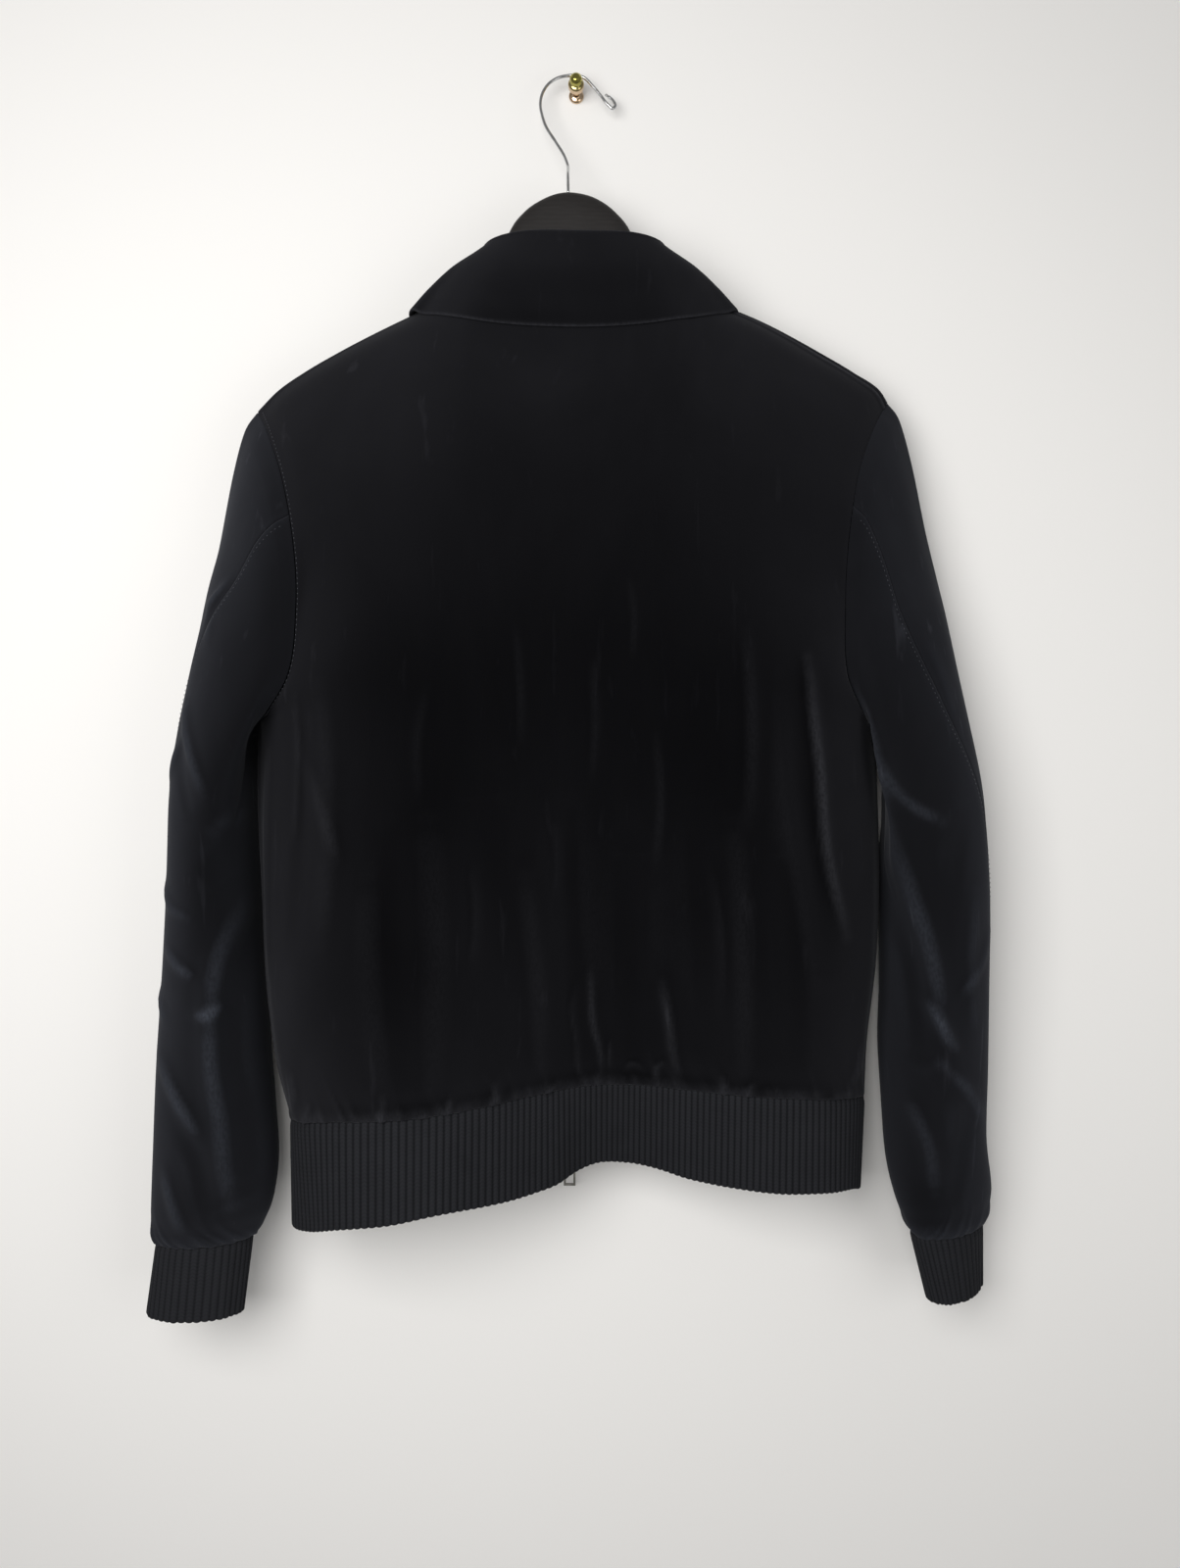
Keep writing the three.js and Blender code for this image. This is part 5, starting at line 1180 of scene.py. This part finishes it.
hem_piece = hem_band()
cuff_left = cuff("cuff_left", left_oval, CUFF_LEFT, -1, 7)
cuff_right = cuff("cuff_right", right_oval, CUFF_RIGHT, 1, 9)

# ---- collar
ROLL_REACH, ROLL_DROP, SHOULDER_REACH, SHOULDER_DROP = 4.5, 4.6, 3.2, 1.3
LEAF_SWELL = 2.4
# How far the leaf stands up where it turns over the shoulders
LEAF_LIFT = 3.6
# Where the leaf starts in the profile, and how far its edge stays off the back
LEAF_FROM = 2.4
LEAF_REST = 0.3
COLLAR_LIFT = 0.8
PROFILE = [0, 0.5, 1, 1.35, 1.7, 2.05, 2.4, 3, 3.6, 4.2]


def collar_surface(t, w):
    """Folded collar: up the stand, over the roll and down the leaf, as one curve through ten
    points at each place along the neck."""
    out, up = neck_out(t), np.array([0, 0, 1.0])
    roll, leaf = through(NECK_AT, ROLL_ROWS, t), through(NECK_AT, LEAF_ROWS, t)
    base = neck_seam(t) + up * COLLAR_LIFT - out * VELVET / 2

    def around(reach, drop):
        return roll + out * reach - up * drop
    lift = up * LEAF_LIFT * out[..., :1] ** 2
    inside, outside = around(-ROLL_REACH, ROLL_DROP), around(ROLL_REACH, ROLL_DROP) + lift * 0.6
    points = [base, mix(base, inside, 0.5), inside, around(-SHOULDER_REACH, SHOULDER_DROP), roll,
              around(SHOULDER_REACH, SHOULDER_DROP), outside,
              mix(outside, leaf, 0.35) + out * LEAF_SWELL + lift,
              mix(outside, leaf, 0.7) + out * LEAF_SWELL / 2 + lift, leaf]
    weights = through(PROFILE, np.eye(len(PROFILE)), w)
    return np.einsum("...k,k...c->...c", weights, np.stack(points))


def laid(p, t, w):
    """The leaf swung in until its edge rests on the back: the shift grows evenly from the roll
    to the edge, where the back's depth is the mean of its points weighted by
    exp(-distance^2 / 12) in X and Z."""
    near = back_points[:, -70:].reshape(-1, 3)
    edge = p[:, -1]
    gap = ((edge[:, None, 0] - near[None, :, 0]) ** 2 + (edge[:, None, 2] - near[None, :, 2]) ** 2)
    weight = np.exp(-gap / 12) + 1e-30
    depth = (weight * near[None, :, 1]).sum(1) / weight.sum(1)
    share = smooth((0.155 - np.abs(t[:, 0] - 0.5)) / 0.04)
    shift = (depth - COLLAR_HALF - LEAF_REST - edge[:, 1]) * share
    moved = p.copy()
    moved[..., 1] += shift[:, None] * np.clip((w - LEAF_FROM) / (PROFILE[-1] - LEAF_FROM), 0, 1)
    return moved


def collar():
    """The collar's cloth with soft dents, a rolled leaf edge and rounded ends."""
    t, w = np.meshgrid(np.linspace(0, 1, 200), even(120, (1.0, 3, 0.04)) * PROFILE[-1], indexing="ij")
    p = laid(collar_surface(t, w), t, w)
    size, area = cut_size(p)
    n = grid_normals(p)
    along, up = run(p, 0), run(p, 1)
    edge = up[:, -1:] - up
    end = np.minimum(along, along[-1:] - along)
    rise = 0.9 * drift(p, 24, 61) * smooth(edge / 12) * smooth(up / 12)
    half = COLLAR_HALF * np.sqrt(1 - np.clip(1 - edge / 1.8, 0, 0.97) ** 2)
    half = half * np.sqrt(1 - np.clip(1 - end / 1.8, 0, 0.97) ** 2)
    out = neck_out(t)
    sign = np.sign((n * out)[:, -20].sum())
    n = n * sign
    outer = p + n * (rise + half)[..., None]
    inner = p + n * (rise - half)[..., None]
    # Painted highlights in the crest attribute: a pale line along the leaf's edge and a short wavy one on the roll
    # line at the back of the neck.
    crest = 0.5 * np.exp(-((edge / 1.3) ** 2)) + 0.35 * np.exp(
        -(((w - 1.72 - 0.04 * np.sin(150 * t)) / 0.05) ** 2) - ((t - 0.48) / 0.05) ** 2)
    piece = shell("collar_velvet", lower(outer), lower(inner), velvet, crest=crest)
    return dress(piece, "collar")


collar_piece = collar()

# ---- sewing
STITCH = 1.3
STITCH_GAP = 2.3
STITCH_HALF = 0.22


def stitches(name, path, normal, seed):
    """A row of stitches along a path: each a short thread that dives in at both ends."""
    length = chords(path)
    total = length[-1]
    starts = np.arange(2, total - STITCH, STITCH + STITCH_GAP)
    rng = np.random.default_rng(seed)
    starts = starts + rng.uniform(-0.15, 0.15, len(starts))
    t = np.linspace(0, 1, 6)
    at = starts[:, None] + t[None] * STITCH
    centre = np.stack([np.interp(at, length, path[:, k]) for k in range(3)], -1)
    up = unit(np.stack([np.interp(at, length, normal[:, k]) for k in range(3)], -1))
    along = unit(np.gradient(centre, axis=1))
    across = unit(np.cross(along, up))
    lift = (0.42 * np.sin(np.pi * t) - 0.12)[None, :, None]
    centre = centre + up * lift
    angle = np.linspace(0, 2 * np.pi, 6, endpoint=False)
    thin = (STITCH_HALF * np.sqrt(np.clip(np.sin(np.pi * np.clip(t, 0.06, 0.94)), 0.2, 1)))[None, :, None, None]
    rings = (centre[:, :, None] + thin * (np.cos(angle)[None, None, :, None] * across[:, :, None]
             + np.sin(angle)[None, None, :, None] * up[:, :, None]))
    count, sections, sides = rings.shape[:3]
    points = rings.reshape(-1, 3)
    k, s, i = np.meshgrid(np.arange(count), np.arange(sections - 1), np.arange(sides), indexing="ij")
    nxt = (i + 1) % sides
    base = k * sections * sides + s * sides
    quads = np.stack([base + i, base + nxt, base + sides + nxt, base + sides + i], -1).reshape(-1, 4)
    block = np.arange(count) * sections * sides
    low = block[:, None] + np.arange(sides)[None, ::-1]
    high = block[:, None] + (sections - 1) * sides + np.arange(sides)[None]
    ends = np.concatenate([low[:, [0, 1, 2, 3]], low[:, [0, 3, 4, 5]], high[:, [0, 1, 2, 3]],
                           high[:, [0, 3, 4, 5]]])
    first = outward(points[:sections * sides], quads[:(sections - 1) * sides])
    if first[0, 0] != quads[0, 0] or first[0, 1] != quads[0, 1]:
        quads, ends = quads[:, ::-1], ends[:, ::-1]
    piece = finish_mesh(name, lower(points), np.concatenate([quads, ends]), thread)
    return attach(piece, "garment")


def armhole_stitches(name, column, seed):
    """Topstitching on the back beside the armhole seam, read from the finished back."""
    n = grid_normals(back_points, np.array([0, -1, 0]))
    rows = back_points.shape[1]
    keep = slice(int(rows * 0.52), rows - 6)
    stitches(name, back_points[column, keep], n[column, keep], seed)


def sleeve_stitches(name, surface, seed, side, last):
    """Topstitching down the sleeve's back seam, on the under panel's side."""
    s = np.linspace(0.03, last, 300)
    offset = UPPER_HALF + 3.2
    p = surface(np.full_like(s, offset), s)
    q = surface(np.full_like(s, offset + 4), s)
    n = unit(np.cross(np.gradient(p, axis=0), q - p)) * -side
    if n[20, 1] > 0:
        n = -n
    stitches(name, p + n * 0.2, n, seed)


armhole_stitches("armhole_stitches_left", 5, 21)
sleeve_stitches("sleeve_stitches_left", left_sleeve, 23, -1, 0.97)
sleeve_stitches("sleeve_stitches_right", right_sleeve, 24, 1, 0.97)


# ---- zip
def zip_tape(node, line, side):
    """Zip tape with a beaded edge, behind one front edge, and its row of teeth."""
    t = np.linspace(TAPE_FIRST, TAPE_LAST, 60)
    foot = line(np.array(0.0))
    low = np.array([[foot[0], TAPE_BAND_Y, z] for z in np.linspace(TAPE_FOOT, TAPE_BAND_TOP, 10)])
    path = np.concatenate([low, line(t) - [0, TAPE_BEHIND, 0]])
    across = np.linspace(-TAPE_UNDER, TAPE_OUT, 12)
    bead = np.clip((across - TAPE_OUT + 2.2) / 2.2, 0, 1)
    grid = path[None] + np.array([1.0, 0, 0]) * (across * side)[:, None, None]
    lift = 0.35 * np.sin(np.pi * bead) - 0.25 * (across < -TAPE_UNDER + 0.7)
    outer = grid + np.array([0, 1.0, 0]) * np.minimum(lift, 0.35)[:, None, None]
    inner = grid - np.array([0, 1.0, 0]) * (TAPE_WALL + np.maximum(lift, 0))[:, None, None]
    size, area = cut_size(grid)
    piece = shell(node + "_twill", lower(outer), lower(inner), tape)
    dress(piece, node)
    edge = path + [side * (TAPE_OUT + 0.6), -TAPE_WALL / 2, 0]
    length = chords(edge)
    at = np.arange(14, length[-1] - 4, TOOTH_PITCH) + (0 if side > 0 else TOOTH_PITCH / 2)
    centre = np.stack([np.interp(at, length, edge[:, k]) for k in range(3)], -1)
    # one tooth: a block that straddles the bead and narrows to a rounded nose
    x = np.array([-1.5, -1.5, 0.3, 0.3, 1.5, 1.5])
    y = np.array([-1.15, 1.15, -1.15, 1.15, -0.7, 0.7])
    half = np.array([0.62, 0.62, 0.62, 0.62, 0.36, 0.36])
    tooth = np.concatenate([np.stack([x * side, y, -half], -1), np.stack([x * side, y, half], -1)])
    quads = np.array([[0, 2, 3, 1], [2, 4, 5, 3], [6, 7, 9, 8], [8, 9, 11, 10], [0, 1, 7, 6],
                      [4, 10, 11, 5], [0, 6, 8, 2], [2, 8, 10, 4], [1, 3, 9, 7], [3, 5, 11, 9]])
    quads = outward(tooth, quads)
    points = (centre[:, None] + tooth[None]).reshape(-1, 3)
    faces = (np.arange(len(at))[:, None, None] * 12 + quads[None]).reshape(-1, 4)
    teeth = finish_mesh(node.replace("tape", "teeth"), lower(points), faces, steel, flat=True)
    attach(teeth, "garment")


zip_tape("zip_tape_left", centre_left, 1)
zip_tape("zip_tape_right", centre_right, -1)
for node, metal in (("zip_slider", steel), ("zip_box", steel), ("zip_pull", pull_steel)):
    for material_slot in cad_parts[node].material_slots:
        material_slot.material = metal


# ---- hanger, hook and peg
def hanger():
    """Wooden hanger: squared oval sections along X between the top and the underside line."""
    table = np.array(HANGER_ROWS, float)
    x = np.linspace(table[0, 0], table[-1, 0], 260)
    top, under, half = np.moveaxis(through(table[:, 0], table[:, 1:], x), -1, 0)
    angle = np.linspace(0, 2 * np.pi, 36, endpoint=False)

    def soft(value):
        return np.sign(value) * np.abs(value) ** (2 / HANGER_SQUARE)
    y = (HANGER_Y + HANGER_LEAN * x)[:, None] + half[:, None] * soft(np.cos(angle))
    z = ((top + under) / 2)[:, None] + ((top - under) / 2)[:, None] * soft(np.sin(angle))
    rings = np.stack([np.broadcast_to(x[:, None], y.shape), y, z], -1)
    piece = capped("hanger_wood", lower(rings), wood)
    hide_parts("hanger")
    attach(piece, "garment")


def hook_and_peg():
    """Bent wire with a rounded tip and the turned peg."""
    line = curve(HOOK)(np.linspace(0, 1, 240))
    taper = np.where(np.linspace(0, 1, 240) > 0.985, 0.8, 1.0)
    wire = tube("hook_wire", line, WIRE * taper, 20, chrome)
    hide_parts("hanger_hook")
    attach(wire, "garment")
    away = np.array([distance for _, distance in PEG], float)
    radius = np.array([r for r, _ in PEG], float)
    station = chords(np.column_stack([radius, away, 0 * away]))
    at = np.linspace(0, station[-1], 160)
    profile = np.column_stack([np.interp(at, station, radius), np.interp(at, station, away)])
    for _ in range(PEG_SOFTEN):
        profile[1:-1] = (profile[:-2] + 2 * profile[1:-1] + profile[2:]) / 4
    angle = np.linspace(0, 2 * np.pi, 48, endpoint=False)
    rings = np.stack([profile[:, :1] * np.cos(angle), -profile[:, 1:] + 0 * angle,
                      profile[:, :1] * np.sin(angle)], -1)
    peg = capped("peg_turned", rings, brass)
    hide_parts("wall_peg")
    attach(peg, "garment")


hanger()
hook_and_peg()


# ---- room
def room():
    """Pale wall just behind the peg, lit softly from beside the camera, with even light all
    round."""
    x, z = np.meshgrid([-WALL_HALF, WALL_HALF], [-WALL_HALF, WALL_HALF], indexing="ij")
    points = np.stack([x, np.full_like(x, WALL_BEHIND), z], -1).reshape(-1, 3) / MM
    wall = finish_mesh("backdrop_wall", points, [[0, 2, 3, 1]], wall_material())
    world = bpy.data.worlds.new("soft room")
    world.use_nodes = True
    world.node_tree.nodes["Background"].inputs["Color"].default_value = (1, 0.99, 0.975, 1)
    world.node_tree.nodes["Background"].inputs["Strength"].default_value = ROOM_LIGHT
    bpy.context.scene.world = world
    bpy.context.scene.view_settings.view_transform = "Standard"
    for name, place, aim, size, power in LAMPS:
        lamp = bpy.data.lights.new(name, "AREA")
        lamp.energy = power
        lamp.size = size
        lamp.color = (1, 0.985, 0.965)
        light = bpy.data.objects.new(name, lamp)
        light.location = place
        turn = (Vector(aim) - Vector(place)).to_track_quat("-Z", "Y")
        light.rotation_euler = turn.to_euler()
        light.visible_camera = False
        bpy.context.scene.collection.objects.link(light)


room()
